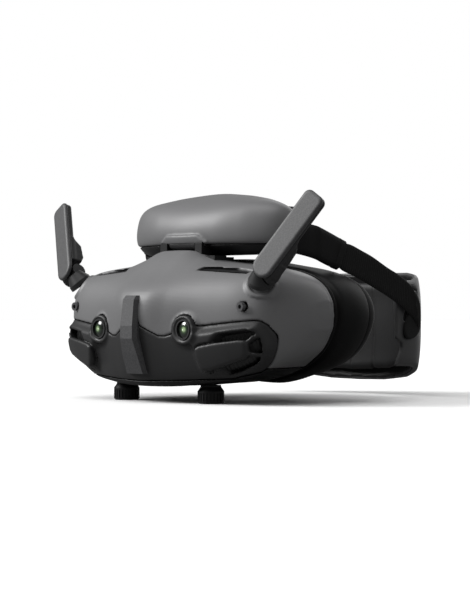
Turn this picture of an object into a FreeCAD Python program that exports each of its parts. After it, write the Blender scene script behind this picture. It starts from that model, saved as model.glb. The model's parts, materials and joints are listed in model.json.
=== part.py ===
import FreeCAD, Part
import os, math
from FreeCAD import Vector as V, Rotation, Placement

# First-person-view goggles: a main unit with stereo cameras, a hinged forehead unit,
# two folding antennas, per-eye optics on sliding carriages and a strap with a rear cradle.
# Working axes: X to the wearer's left, front towards -Y, Z up. Millimetres.
# Every finished sub-part gets the placement SHIFT, which puts the origin at the bottom centre.

doc = FreeCAD.newDocument("fpv_goggles")
sheet = doc.addObject("Spreadsheet::Sheet", "dims")
VALUES = [
    ("shell_wall", 2.2), ("seam_gap", 0.1), ("cam_half", 32.0), ("cam_height", 37.8),
    ("eye_half", 31.9), ("eye_height", 40.0), ("knob_rad", 6.65), ("knob_tall", 7.6),
    ("stem_rad", 2.4), ("screw_half", 62.7), ("paddle_wide", 12.5), ("paddle_long", 49.0),
    ("paddle_thick", 4.7), ("hub_rad", 6.3), ("strap_wide", 17.4), ("strap_thick", 2.2),
    ("board_thick", 1.4), ("lens_rad", 14.4), ("lens_thick", 5.0), ("cell_wall", 1.4),
    ("guide_wall", 1.2), ("guide_gap", 0.4), ("plate_thick", 1.8), ("fan_rad", 7.2),
    ("fan_deep", 5.0), ("bezel_rad", 6.9), ("glass_rad", 4.0), ("battery_long", 46.0),
    ("battery_deep", 8.0), ("battery_tall", 14.0), ("button_rad", 3.0), ("button_gap", 0.35),
    ("cradle_wall", 3.0), ("cradle_tall", 54.0), ("foam_thick", 6.0), ("hinge_rad", 1.5),
    ("hinge_half", 10.2), ("board_half", 46.0), ("pane_thick", 1.2), ("shift_back", 79.25),
    ("shift_down", 0.8),
]
for i, (name, value) in enumerate(VALUES):
    sheet.set("A%d" % (i + 1), name)
    sheet.set("B%d" % (i + 1), str(value))
    sheet.setAlias("B%d" % (i + 1), name)
doc.recompute()


def val(name):
    return float(getattr(sheet, name))


SHIFT = V(0, -val("shift_back"), -val("shift_down"))
HOME = Placement(SHIFT, Rotation())
finals = []


def keep(obj, label, place=None):
    """Names a finished sub-part and puts it in the row's frame."""
    obj.Label = label
    if place is None:
        place = Placement()
    obj.Placement = HOME.multiply(place)
    finals.append((label, obj))
    return obj


def plane_of(body, role):
    for f in body.Origin.OriginFeatures:
        if getattr(f, "Role", "") == role:
            return f
    raise RuntimeError(role)


def lines_into(sk, pts):
    n = len(pts)
    for i in range(n):
        a, b = pts[i], pts[(i + 1) % n]
        sk.addGeometry(Part.LineSegment(V(a[0], a[1], 0), V(b[0], b[1], 0)), False)


def new_sketch(body, name, role, offset=0.0):
    sk = body.newObject("Sketcher::SketchObject", name)
    sk.AttachmentSupport = [(plane_of(body, role), "")]
    sk.MapMode = "FlatFace"
    if offset:
        sk.AttachmentOffset = Placement(V(0, 0, offset), Rotation())
    return sk


def pad_body(label, outline, length, place=None, both=False, holes=(), fillet=0.0):
    """A padded outline in the XY plane; length is a number or a sheet alias expression."""
    body = doc.addObject("PartDesign::Body", label)
    sk = new_sketch(body, label + "_outline", "XY_Plane")
    lines_into(sk, outline)
    for (cx, cy, r) in holes:
        sk.addGeometry(Part.Circle(V(cx, cy, 0), V(0, 0, 1), r), False)
    pad = body.newObject("PartDesign::Pad", label + "_pad")
    pad.Profile = sk
    if isinstance(length, str):
        pad.setExpression("Length", length)
    else:
        pad.Length = length
    pad.Midplane = both
    doc.recompute()
    if fillet:
        edges = []
        for i, e in enumerate(pad.Shape.Edges):
            t = e.tangentAt(e.FirstParameter)
            if abs(t.z) > 0.99:
                edges.append("Edge%d" % (i + 1))
        fl = body.newObject("PartDesign::Fillet", label + "_round")
        fl.Base = (pad, edges)
        fl.Radius = fillet
        body.Tip = fl
        doc.recompute()
    keep(body, label, place)
    return body


def rev_body(label, profile, place=None, grooves=None):
    """A profile (radius, height) turned about Z; optional grooves cut round the rim."""
    body = doc.addObject("PartDesign::Body", label)
    sk = new_sketch(body, label + "_profile", "XZ_Plane")
    lines_into(sk, profile)
    rev = body.newObject("PartDesign::Revolution", label + "_turn")
    rev.Profile = sk
    rev.ReferenceAxis = (sk, ["V_Axis"])
    rev.Angle = 360
    body.Tip = rev
    doc.recompute()
    if grooves:
        count, r, depth, z0, z1, width = grooves
        g = new_sketch(body, label + "_slot", "XY_Plane", z0)
        lines_into(g, [(r - depth, -width / 2), (r + 1, -width / 2), (r + 1, width / 2), (r - depth, width / 2)])
        pk = body.newObject("PartDesign::Pocket", label + "_cut")
        pk.Profile = g
        pk.Length = z1 - z0
        pk.Reversed = True
        body.Tip = pk
        doc.recompute()
        if pk.Shape.Volume >= rev.Shape.Volume - 0.01:
            pk.Reversed = False
            doc.recompute()
        pat = body.newObject("PartDesign::PolarPattern", label + "_ring")
        pat.Originals = [pk]
        pat.Axis = (sk, ["V_Axis"])
        pat.Angle = 360
        pat.Occurrences = count
        body.Tip = pat
        doc.recompute()
    keep(body, label, place)
    return body


def shape_part(label, shape, place=None):
    """A computed solid held by a plain feature."""
    obj = doc.addObject("Part::Feature", label)
    obj.Shape = shape
    keep(obj, label, place)
    return obj


def box(x0, x1, y0, y1, z0, z1):
    return Part.makeBox(x1 - x0, y1 - y0, z1 - z0, V(x0, y0, z0))


def cyl(r, p, d, h):
    return Part.makeCylinder(r, h, V(*p), V(*d))


def prism_y(pts, y0, y1):
    """An XZ outline extruded along Y."""
    w = Part.makePolygon([V(a, y0, b) for a, b in pts] + [V(pts[0][0], y0, pts[0][1])])
    return Part.Face(w).extrude(V(0, y1 - y0, 0))


def prism_x(pts, x0, x1):
    """A YZ outline extruded along X."""
    w = Part.makePolygon([V(x0, a, b) for a, b in pts] + [V(x0, pts[0][0], pts[0][1])])
    return Part.Face(w).extrude(V(x1 - x0, 0, 0))


def prism_z(pts, z0, z1):
    w = Part.makePolygon([V(a, b, z0) for a, b in pts] + [V(pts[0][0], pts[0][1], z0)])
    return Part.Face(w).extrude(V(0, 0, z1 - z0))


def mirrored(shape):
    return shape.mirror(V(0, 0, 0), V(1, 0, 0))


def one(shape):
    """The largest solid of a boolean result."""
    return max(shape.Solids, key=lambda q: q.Volume)


# ---------------------------------------------------------------- main shell sections
# Half-section profiles (y, z) at stations along X, from the rear top round the front to the rear bottom.
STATIONS = [
    (0.0, [(56, 73), (38, 74.4), (26, 78), (8, 66), (-4.5, 55), (-6.5, 40), (-3, 20), (3, 9.5), (56, 10)]),
    (9.0, [(56, 73), (38, 74.4), (26, 77.8), (8, 65.6), (-3.5, 55), (-5.0, 40), (-2, 20), (4, 9.5), (56, 10)]),
    (20.0, [(56, 72), (38, 73.2), (25, 74), (11, 66.5), (0.5, 55), (-1.5, 40), (0.5, 20), (6, 9.8), (56, 10.2)]),
    (32.0, [(56, 70.8), (40, 71.3), (24, 70.3), (12, 65.5), (4, 55), (2.2, 40), (3.5, 21), (9, 10.8), (56, 11.3)]),
    (45.0, [(56, 69), (40, 69.8), (24, 68.8), (13.5, 64.5), (7.2, 55), (5.2, 40), (7, 22), (13, 12), (56, 13.6)]),
    (58.0, [(56, 66.8), (40, 68.2), (26, 67.6), (16, 63.5), (10.5, 55), (8.8, 40), (11, 24), (18, 14.5), (56, 17.6)]),
    (68.0, [(56, 63.7), (42, 65.6), (29, 65.2), (19.5, 61), (14.3, 53), (13.2, 40), (15.5, 27), (24, 19), (56, 23.5)]),
    (75.0, [(56, 59.5), (46, 61), (35, 60.5), (26, 57), (21.5, 50), (21, 41), (23.5, 32), (31, 25.5), (56, 29)]),
    (79.5, [(56, 54), (49, 54.8), (43, 54.2), (37, 52), (34, 47.5), (33.5, 42.5), (35.5, 38), (41, 35), (56, 36)]),
    (81.8, [(56, 48.5), (54, 49), (51, 48.8), (48.5, 47.8), (47, 46), (46.8, 44), (47.6, 42), (50, 40.8), (56, 41)]),
]


def with_floor(pts, x=0.0):
    """Adds three points along the long bottom run so the curve stays flat there."""
    a, b = pts[-2], pts[-1]
    k = max(0.25, 1.0 - x / 40.0)
    run, rise = b[0] - a[0], b[1] - a[1]
    if run < 12:
        return list(pts)
    return list(pts[:-1]) + [(a[0] + run * 0.12, a[1] - 0.5 * k + rise * 0.02), (a[0] + run * 0.4, a[1] - 0.8 * k + rise * 0.25), (a[0] + run * 0.72, a[1] - 0.4 * k + rise * 0.62), b]


STATIONS = [(x, with_floor(p, x)) for x, p in STATIONS]
# Extra forward bulge (towards -Y) of the front cover round the vents, at the same stations: rows 5, 6, 7 of each profile.
BULGE = {45.0: (1.5, 2.0, 1.0), 58.0: (3.0, 3.4, 1.5), 68.0: (3.6, 4.4, 1.5), 75.0: (2.0, 3.0, 0.5)}


def spline(pts, x):
    curve = Part.BSplineCurve()
    curve.interpolate([V(x, a, b) for a, b in pts])
    return curve.toShape()


def section_wire(pts, x):
    top = spline(pts, x)
    a, b = pts[-1], pts[0]
    back = Part.LineSegment(V(x, a[0], a[1]), V(x, b[0], b[1])).toShape()
    return Part.Wire([top, back])


def body_loft(stations):
    wires = [section_wire(p, -x) for x, p in reversed(stations) if x > 0]
    wires += [section_wire(p, x) for x, p in stations]
    return Part.makeLoft(wires, True, False)


def inset(pts, t, back):
    """Moves a profile inwards by t and its two ends to y = back."""
    n = len(pts)
    out = []
    for i, (a, b) in enumerate(pts):
        p = pts[max(i - 1, 0)]
        q = pts[min(i + 1, n - 1)]
        ta, tb = q[0] - p[0], q[1] - p[1]
        L = math.hypot(ta, tb)
        # travelling from the rear top forwards and down, the inside is on the left
        out.append((a - tb / L * t * 1.0, b + ta / L * t * 1.0))
    e = (back - out[1][0]) / max(pts[0][0] - pts[1][0], 1.0)
    out[0] = (back, out[1][1] + (pts[0][1] - pts[1][1]) * e)
    e = (back - out[-2][0]) / max(pts[-1][0] - pts[-2][0], 1.0)
    out[-1] = (back, out[-2][1] + (pts[-1][1] - pts[-2][1]) * e)
    return out


wall = val("shell_wall")
outer_grey = body_loft(STATIONS)
front_stations = []
for x, pts in STATIONS:
    p = list(pts)
    if x in BULGE:
        for k, dy in zip((5, 6, 7), BULGE[x]):
            p[k] = (p[k][0] - dy, p[k][1])
    front_stations.append((x, p))
outer_front = body_loft(front_stations)
inner = body_loft([(x * 0.966, inset(p, wall, 60.0)) for x, p in STATIONS[:-1]])
print("outer valid", outer_grey.isValid(), outer_front.isValid(), inner.isValid(), outer_grey.Volume, inner.Volume)

gap = val("seam_gap")
# Seam line of the front cover, seen from the front, from the centre out to +X (x, z).
SEAM = [(0, 41.5), (5.1, 41.5), (5.6, 39.6), (15.9, 34.7), (19.7, 34.6), (24.2, 36.0), (24.7, 39.8), (26.7, 43.2), (29.4, 44.7), (32, 45.1), (35, 44.4), (37.4, 42.2), (38.8, 38.9), (57, 41.6), (68.1, 42.6), (70.5, 42.2), (72.6, 40.4), (74.4, 36.4), (76.0, 31.2), (76.2, 27.6), (74.0, 23.0), (69.5, 19.4), (65.1, 17.4), (52.4, 13.9), (20, 12.4), (0, 12.0)]


def mirror_outline(half):
    return half + [(-a, b) for a, b in reversed(half) if a > 0.01]


def grown(half, d):
    """Offsets a front outline outwards by d along its own normals."""
    pts = mirror_outline(half)
    n = len(pts)
    area = sum(pts[i][0] * pts[(i + 1) % n][1] - pts[(i + 1) % n][0] * pts[i][1] for i in range(n))
    sign = 1 if area > 0 else -1
    out = []
    for i in range(n):
        p, q = pts[i - 1], pts[(i + 1) % n]
        ta, tb = q[0] - p[0], q[1] - p[1]
        L = math.hypot(ta, tb) or 1
        out.append((pts[i][0] + sign * tb / L * d, pts[i][1] - sign * ta / L * d))
    return out


cover_in = prism_y(grown(SEAM, -gap), -20, 29.8)
cover_out = prism_y(grown(SEAM, gap), -20, 30.0)
shell_grey = outer_grey.cut(inner)
shell_front = outer_front.cut(inner)
# The lower shell is the bottom tray behind and below the front cover.
LOWER_TOP = 19.0
lower_zone = box(-90, 90, -20, 62, 0, LOWER_TOP)
VENT = [(48.9, 32.6), (52.1, 36.0), (59.3, 37.0), (68.0, 38.2), (70.8, 37.2), (72.3, 35.0), (73.2, 30.3), (72.8, 27), (70.0, 22.6), (66.7, 20.2), (57.9, 17.0), (51.3, 15.6), (49.5, 18.8)]
PLATE = [(47.0, 24.5), (47.0, 29.9), (50.8, 31.5), (63.4, 33.0), (66.3, 32.7), (67.1, 30.9), (66.9, 25.9), (64.8, 23.7), (51.5, 19.4), (47.0, 18.2)]
vent_cut = prism_y(VENT, -20, 40)
vent_cut = vent_cut.fuse(mirrored(vent_cut))
cam_holes = cyl(4.4, (32, -20, 37.8), (0, 1, 0), 40).fuse(cyl(4.4, (-32, -20, 37.8), (0, 1, 0), 40))
screw_holes = cyl(1.35, (62.7, -20, 49.2), (0, 1, 0), 40).fuse(cyl(1.35, (-62.7, -20, 49.2), (0, 1, 0), 40))
SLOT = [(22.7, 67.6), (24.5, 69.0), (57.1, 67.6), (57.1, 65.2)]
top_slots = prism_y(SLOT, 0, 24)
top_slots = top_slots.fuse(mirrored(top_slots))

plate_cut = prism_y([(46.9, 18.0), (46.9, 30.0), (50.8, 31.6), (52, 31.6), (52, 18.0)], -20, 40)
plate_cut = plate_cut.fuse(mirrored(plate_cut))
front_cover = one(shell_front.common(cover_in).cut(vent_cut).cut(plate_cut).cut(cam_holes))
upper = shell_grey.cut(lower_zone).cut(cover_out).cut(cam_holes).cut(screw_holes).cut(top_slots)
upper = one(upper)
lower = one(shell_grey.common(box(-90, 90, -20, 62, 0, LOWER_TOP - 2 * gap)).cut(cover_out))
# knob stem slots, long enough for the full eye-distance travel
for s in (1, -1):
    slot = box(s * 31.9 - 4.4, s * 31.9 + 4.4, 18.9 - 3.0, 18.9 + 3.0, 0, 20)
    slot = slot.fuse(cyl(3.0, (s * 31.9 - 4.4, 18.9, 0), (0, 0, 1), 20)).fuse(cyl(3.0, (s * 31.9 + 4.4, 18.9, 0), (0, 0, 1), 20))
    slot = slot.fuse(box(s * 31.9 - 4.4, s * 31.9 + 4.4, 18.9 - 5.5, 18.9 + 5.5, 0, 10.5))
    slot = slot.fuse(cyl(5.5, (s * 31.9 - 4.4, 18.9, 0), (0, 0, 1), 10.5)).fuse(cyl(5.5, (s * 31.9 + 4.4, 18.9, 0), (0, 0, 1), 10.5))
    lower = lower.cut(slot)
    front_cover = front_cover.cut(slot)
lower = one(lower.cut(box(-44.1, -33.9, 39.9, 48.1, 5, 25)))
front_cover = one(front_cover)
# openings for the three keys on the wearer's right side
KEYS = {"stick_button": (44.5, 46.0, 2.8), "back_button": (41.0, 39.4, 2.2), "record_button": (40.0, 52.0, 2.2)}
for name, (ky, kz, kr) in KEYS.items():
    upper = upper.cut(cyl(kr + val("button_gap"), (-90, ky, kz), (1, 0, 0), 20))
# relief under the hinge block
upper = one(upper.cut(cyl(3.1, (-10.9, 31.0, 81.0), (1, 0, 0), 21.8)))
# round pockets that the two antenna hubs turn in
HUB_AXIS = V(0.43, -0.44, 0.786)
HUB_AXIS.normalize()
pocket = cyl(val("hub_rad") + 0.08, V(69.3, 17.0, 63.4) - HUB_AXIS * 3.5, HUB_AXIS, 14.0)
upper = one(upper.cut(pocket).cut(mirrored(pocket)))
shape_part("upper_shell", upper)
shape_part("front_cover", front_cover)
shape_part("lower_shell", lower)
print("shells", upper.isValid(), front_cover.isValid(), lower.isValid(), upper.Volume, front_cover.Volume, lower.Volume)

# ---------------------------------------------------------------- centre bar
rows = [(54.8, -6.0, 3.9), (52.7, -7.9, 4.1), (39.6, -9.4, 4.4), (33.2, -9.5, 4.5), (25.5, -7.2, 5.5), (15.5, -3.6, 6.0)]
wires = []
for z, y, hw in rows:
    yb = y + 8
    wires.append(Part.makePolygon([V(-hw, y, z), V(hw, y, z), V(hw + 1.0, y + 2.6, z), V(hw + 1.0, yb, z), V(-hw - 1.0, yb, z), V(-hw - 1.0, y + 2.6, z), V(-hw, y, z)]))
bar = Part.makeLoft(wires, True, True)
bar = one(bar.cut(outer_grey).cut(outer_front))
shape_part("centre_bar", bar)

# ---------------------------------------------------------------- stereo cameras
TO_FRONT = Rotation(V(1, 0, 0), 90)  # local +Z becomes -Y
for s, side in ((1, "left"), (-1, "right")):
    ring = Part.makeCone(val("bezel_rad"), 5.0, 4.2, V(s * 32, 3.6, 37.8), V(0, -1, 0)).fuse(cyl(val("bezel_rad"), (s * 32, 9, 37.8), (0, -1, 0), 5.4))
    ring = ring.cut(cyl(4.3, (s * 32, -3, 37.8), (0, 1, 0), 20)).cut(outer_grey).cut(outer_front)
    shape_part("camera_bezel_" + side, one(ring))
    rev_body("camera_lens_" + side, [(0, 0), (4.0, 0), (4.0, 0.9), (2.4, 1.35), (0, 1.6)], Placement(V(s * 32, 1.2, 37.8), TO_FRONT))
board = box(-40, 40, 12.0, 13.2, 33, 43)
for s in (1, -1):
    board = board.fuse(cyl(3.8, (s * 32, 1.4, 37.8), (0, 1, 0), 10.7)).fuse(box(s * 32 - 4.6, s * 32 + 4.6, 7.4, 12.0, 33.2, 42.4))
board = board.cut(box(-22, 22, 5, 20, 30, 36))
shape_part("stereo_camera_board", one(board))

# ---------------------------------------------------------------- vents
for s, side in ((1, "left"), (-1, "right")):
    layer = outer_front.cut(outer_front.copy().translated(V(-s * 0.6, 2.0, 0)))
    plate = outer_front.translated(V(-s * 0.2, 1.1, 0)).cut(outer_front.translated(V(-s * 0.6, 2.9, 0)))
    pp = PLATE if s > 0 else [(-a, b) for a, b in PLATE]
    vent_in = [(49.4, 32.5), (52.3, 35.6), (59.3, 36.6), (67.9, 37.8), (70.5, 36.9), (71.9, 34.8), (72.8, 30.3), (72.4, 27.1), (69.7, 22.9), (66.5, 20.6), (57.8, 17.4), (51.6, 16.1), (50.0, 18.9)]
    vin = vent_in if s > 0 else [(-a, b) for a, b in vent_in]
    zone = prism_y(pp, -20, 40)
    strut = prism_y([(65.4, 32.6), (66.6, 31.2), (72.2, 35.6), (71.0, 37.0)], -20, 40).fuse(prism_y([(66.2, 27.4), (66.2, 25.6), (74.0, 24.4), (74.0, 26.2)], -20, 40))
    if s < 0:
        strut = mirrored(strut)
    zone = zone.fuse(strut.common(prism_y(vin, -20, 40)))
    plate = plate.common(zone).common(box(-90, 90, -20, 23, 0, 90))
    shape_part("vent_plate_" + side, one(plate))
    grille = outer_grey.translated(V(-s * 2.2, 5.2, 0)).cut(outer_grey.translated(V(-s * 2.5, 6.4, 0)))
    gz = [(48, 34), (51, 36.4), (62, 37.4), (67, 37.2), (69.4, 33.0), (69.4, 27), (66, 22.0), (57, 18.6), (50, 17.4), (47, 21.5)]
    gz = gz if s > 0 else [(-a, b) for a, b in gz]
    grille = grille.common(prism_y(gz, -20, 27))
    cuts = None
    for k in range(11):
        x = s * (50 + k * 1.8)
        for z0, z1 in ((33.0, 35.8), (20.4, 24.2)):
            c = box(x - 0.6, x + 0.6, -20, 50, z0, z1)
            cuts = c if cuts is None else cuts.fuse(c)
    grille = grille.cut(cuts)
    shape_part("vent_grille_" + side, one(grille))
    tg = outer_grey.translated(V(0, 0.3, -1.1)).cut(outer_grey.translated(V(0, 0.6, -2.2)))
    sl = [(23.6, 67.6), (25.0, 68.6), (56.7, 67.2), (56.7, 65.6)]
    sl = sl if s > 0 else [(-a, b) for a, b in sl]
    tg = tg.common(prism_y(sl, 2, 23.5))
    if tg.Solids:
        shape_part("top_grille_" + side, one(tg))

# ---------------------------------------------------------------- front screws
screws = []
for s in (1, -1):
    head = cyl(2.2, (s * 62.7, 8.9, 49.2), (0, 1, 0), 2.0)
    sock = Part.makePolygon([V(s * 62.7 + 1.15 * math.cos(math.radians(60 * k)), 8.8, 49.2 + 1.15 * math.sin(math.radians(60 * k))) for k in range(7)])
    head = head.cut(Part.Face(sock).extrude(V(0, 1.3, 0)))
    head = head.cut(outer_grey)
    shank = cyl(1.2, (s * 62.7, 10.4, 49.2), (0, 1, 0), 7.0)
    screws.append(one(head.fuse(shank)))
shape_part("front_screws", Part.makeCompound(screws))

# ---------------------------------------------------------------- frames and boards inside
axis_z = val("eye_height")
half = val("eye_half")
back_plate = body_loft([(x * 0.964, inset(p, wall + 0.25, 60.0)) for x, p in STATIONS[:-1]]).common(box(-90, 90, 49.0, 51.0, 0, 90))
for s in (1, -1):
    w = box(s * half - 4.6, s * half + 4.6, 40, 60, axis_z - 16.8, axis_z + 16.8)
    w = w.fuse(cyl(16.8, (s * half - 4.6, 40, axis_z), (0, 1, 0), 20)).fuse(cyl(16.8, (s * half + 4.6, 40, axis_z), (0, 1, 0), 20))
    back_plate = back_plate.cut(w)
shape_part("eyepiece_frame", one(back_plate))
pad_body("main_board", [(-46, 19), (46, 19), (46, 42), (20, 46), (-20, 46), (-46, 42)], "dims.board_thick", Placement(V(0, 0, 60.2), Rotation()), holes=((-40, 38, 1.2), (40, 38, 1.2), (-12, 42.5, 1.2), (12, 42.5, 1.2)))
fins = box(-16, 16, 22, 40, 61.8, 63.2)
for k in range(8):
    fins = fins.fuse(box(-15.5 + k * 4.2, -14.3 + k * 4.2, 22, 40, 63.2, 68.5))
shape_part("heat_sink", fins.removeSplitter())
for s, side in ((1, "left"), (-1, "right")):
    cx, cz = s * 63.0, 36.0
    h = box(cx - 8.6, cx + 8.6, 30.0, 37.6, cz - 8.6, cz + 8.6)
    h = h.cut(cyl(7.7, (cx, 29, cz), (0, 1, 0), 7.2)).cut(cyl(5.6, (cx, 35, cz), (0, 1, 0), 5))
    for a in (0, 60, 120):
        bar3 = box(-6.2, 6.2, 36.6, 37.6, -0.6, 0.6)
        bar3.rotate(V(0, 0, 0), V(0, 1, 0), a)
        bar3.translate(V(cx, 0, cz))
        h = h.fuse(bar3)
    h = h.fuse(cyl(2.2, (cx, 36.6, cz), (0, 1, 0), 1.0))
    shape_part("fan_housing_" + side, h.removeSplitter())
    rotor = cyl(3.0, (cx, 31.2, cz), (0, 1, 0), 4.6)
    for k in range(9):
        b = box(2.4, val("fan_rad"), 31.6, 35.6, -0.35, 0.35)
        b.rotate(V(0, 0, 0), V(0, 1, 0), 40 * k)
        b.translate(V(cx, 0, cz))
        rotor = rotor.fuse(b)
    shape_part("fan_rotor_" + side, rotor.removeSplitter())

# ---------------------------------------------------------------- per-eye carriage, display, lens cell, knob
for s, side in ((1, "left"), (-1, "right")):
    cx = s * half
    car = cyl(17.4, (cx, 27.0, axis_z), (0, 1, 0), 18.0).cut(cyl(16.3, (cx, 20, axis_z), (0, 1, 0), 30))
    car = car.fuse(box(cx - 15, cx + 15, 25.2, 27.0, axis_z - 15, axis_z + 15).cut(box(cx - 11, cx + 11, 20, 30, axis_z - 11, axis_z + 11)))
    car = car.fuse(box(cx - 6, cx + 6, 13.4, 25.4, 16.4, 21.4)).fuse(box(cx - 6, cx + 6, 22.4, 27.0, 16.4, 27.0))
    car = car.cut(cyl(2.6, (cx, 18.9, 10), (0, 0, 1), 20))
    shape_part("eye_carriage_" + side, car.removeSplitter())
    pad_body("display_" + side, [(-13, -13), (13, -13), (13, 13), (-13, 13)], "dims.pane_thick", Placement(V(cx, 25.2, axis_z), TO_FRONT))
    cell = cyl(15.9, (cx, 33.0, axis_z), (0, 1, 0), 17.0).cut(cyl(14.5, (cx, 30, axis_z), (0, 1, 0), 30))
    cell = cell.fuse(cyl(15.9, (cx, 33.0, axis_z), (0, 1, 0), 1.0).cut(cyl(13.6, (cx, 30, axis_z), (0, 1, 0), 30)))
    shape_part("lens_cell_" + side, cell.removeSplitter())
    # biconvex eyepiece lens
    R, a, t = 30.0, 14.4, 2.2
    prof = []
    for k in range(7):
        r = a * k / 6.0
        prof.append((r, t + (math.sqrt(R * R - r * r) - math.sqrt(R * R - a * a)) * 0.9))
    low = [(r, -z) for r, z in reversed(prof)]
    rev_body("eyepiece_lens_" + side, [(round(p, 4), round(q, 4)) for p, q in (prof + low)], Placement(V(cx, 42.2, axis_z), TO_FRONT))
    kp = [(0, 0.8), (5.9, 0.8), (6.65, 1.6), (6.65, 7.1), (5.2, 9.2), (5.1, 10.1), (2.4, 10.1), (2.4, 24.0), (0, 24.0)]
    rev_body("knob_" + side, kp, Placement(V(cx, 18.9, 0), Rotation()), grooves=(24, 6.65, 0.45, 1.9, 6.2, 0.9))

# ---------------------------------------------------------------- face mask and foam
def ring_outline(kx, kz, zc=41.0, w=81.5, dz=0.0):
    """A rounded closed outline like the rear rim; scale factors about its centre (x, z)."""
    base = [(0, 73.2), (22, 72.2), (43.9, 69.3), (60.4, 66.5), (71, 62.3), (78.4, 55.8), (81.7, 45.3), (79.4, 36.2), (72.1, 26.2), (57.3, 17.5), (42.1, 13.3), (22, 10.4)]
    return [(x * kx, zc + (z - zc) * kz + dz) for x, z in base]


NOSE = [(0, 24.5), (9, 22.0), (15, 13.0)]


def rim_wire(pts, y, nose=0.0):
    """A smooth closed wire through a mirrored half outline, with a nose notch of the given height at the bottom."""
    half_pts = list(pts)
    if nose > 0:
        half_pts = half_pts[:-1] + [(24.0, half_pts[-1][1] + 0.6), (15.5, 10.5 + nose * 0.35), (9.0, 10.5 + nose * 0.8), (0, 10.5 + nose)]
    else:
        half_pts = half_pts + [(0, 9.6)]
    full = half_pts + [(-a, b) for a, b in reversed(half_pts) if a > 0.01]
    curve = Part.BSplineCurve()
    ys = y if callable(y) else (lambda a: y)
    curve.interpolate([V(a, ys(a), b) for a, b in full], PeriodicFlag=True)
    return Part.Wire([curve.toShape()])


def wrap(y):
    """Rear edges follow the face: the sides reach back further than the middle."""
    return lambda a: y + (abs(a) / 82.0) ** 2 * 0.0


mask_out = Part.makeLoft([rim_wire(ring_outline(0.985, 0.985), 56.3), rim_wire(ring_outline(1.012, 1.02), 62.0, 4.0), rim_wire(ring_outline(1.02, 1.03), 72.0, 12.0), rim_wire(ring_outline(1.0, 0.99), 82.0, 18.0)], True, False)
mask_in = Part.makeLoft([rim_wire(ring_outline(0.955, 0.925), 55.0), rim_wire(ring_outline(0.982, 0.96), 62.0, 6.5), rim_wire(ring_outline(0.99, 0.97), 72.0, 14.5), rim_wire(ring_outline(0.97, 0.93), 83.0, 20.5)], True, False)
mask = mask_out.cut(mask_in)
shape_part("face_mask", one(mask))
foam_out = Part.makeLoft([rim_wire(ring_outline(0.995, 0.95), 82.3, 18.4), rim_wire(ring_outline(0.97, 0.88), 87.5, 21.0)], True, False)
foam_in = Part.makeLoft([rim_wire(ring_outline(0.87, 0.72), 81.0, 24.0), rim_wire(ring_outline(0.87, 0.72), 90.0, 27.0)], True, False)
shape_part("face_foam", one(foam_out.cut(foam_in)))

# ---------------------------------------------------------------- ports and buttons on the wearer's right side
port = box(-44, -34, 40, 48, 12.4, 19.4).cut(box(-43.5, -34.5, 42.4, 45.6, 10, 17.4))
port = port.fuse(box(-42.2, -35.8, 43.6, 44.4, 13.4, 17.4))
shape_part("port_block", port.removeSplitter())
shape_part("key_board", box(-73.4, -72.0, 37, 48.6, 35, 56))
for name, (ky, kz, kr) in KEYS.items():
    top_x = {"stick_button": -83.4, "back_button": -79.8, "record_button": -79.8}[name]
    prof = [(0, 0), (kr, 0), (kr, -74.9 - top_x - 0.6), (kr - 0.6, -74.9 - top_x), (0, -74.9 - top_x)]
    rev_body(name, prof, Placement(V(-74.9, ky, kz), Rotation(V(0, 1, 0), -90)))

# ---------------------------------------------------------------- antennas
D0, W0, N0 = V(0.5, 0.335, 0.798), V(0.84, 0.036, -0.541), V(0.21, -0.942, 0.263)
D0.normalize()
W0 = (W0 - D0 * W0.dot(D0))
W0.normalize()
N0 = D0.cross(W0)
if N0.y > 0:
    N0 = N0 * -1
TIP = V(97.1, 26.3, 103.6)
LONG, WIDE, THICK = val("paddle_long"), val("paddle_wide"), val("paddle_thick")
BOT = TIP - D0 * LONG
H0 = V(0.43, -0.44, 0.786)
H0.normalize()
BASE = V(69.3, 17.0, 63.4)
FOLD = BOT + D0 * 3.8 - W0 * 2.4 - N0 * 6.5


def local(u, v, n):
    """Point at u across, v along from the foot, n out of the front face."""
    return BOT + W0 * u + D0 * v + N0 * n


def slab(outline, n0, n1):
    pts = [local(u, v, n0) for u, v in outline]
    return Part.Face(Part.makePolygon(pts + [pts[0]])).extrude(N0 * (n1 - n0))


h = WIDE / 2
face = [(-h + 0.9, LONG - 0.2), (h - 1.6, LONG), (h, LONG - 2.0), (h, 6.0), (h - 1.6, 2.4), (1.6, 0.2), (-1.6, 0.2), (-h + 1.6, 2.4), (-h, 6.0), (-h, LONG - 4.0)]
front_face = slab(face, 0, -2.1)
fe = [e for e in front_face.Edges if abs(abs((e.Vertexes[0].Point - e.Vertexes[1].Point).normalize().dot(N0))) < 0.2 and (e.CenterOfMass - BOT).dot(N0) > -0.1]
try:
    front_face = front_face.makeFillet(0.9, fe)
except Exception as err:
    print("fillet skipped", err)
back_outline = [(-h + 0.9, LONG - 0.2), (h - 1.6, LONG), (h, LONG - 2.0), (h, 9.6), (-h, 9.6), (-h, LONG - 4.0)]
back = slab(back_outline, -2.2, -THICK)
side = [(9.6, -THICK + 0.3), (25.0, -THICK + 0.3), (20.5, -9.2), (13.0, -10.0), (9.6, -8.4)]
pts = [local(-h, v, n) for v, n in side]
knuckle = Part.Face(Part.makePolygon(pts + [pts[0]])).extrude(W0 * WIDE)
ear = cyl(3.9, FOLD + W0 * 3.6, W0, 5.0)
web = slab([(1.2, 3.8), (6.2, 3.8), (6.2, 9.8), (1.2, 9.8)], -2.6, -9.6)
back = back.fuse(knuckle).fuse(ear).fuse(web.cut(cyl(30, FOLD + W0 * 8.65, W0, 5)))
pin_hole = cyl(1.05, FOLD - W0 * 20, W0, 40)
back = back.cut(cyl(4.3, FOLD - W0 * 12, W0, 15.3)).cut(pin_hole)
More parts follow.
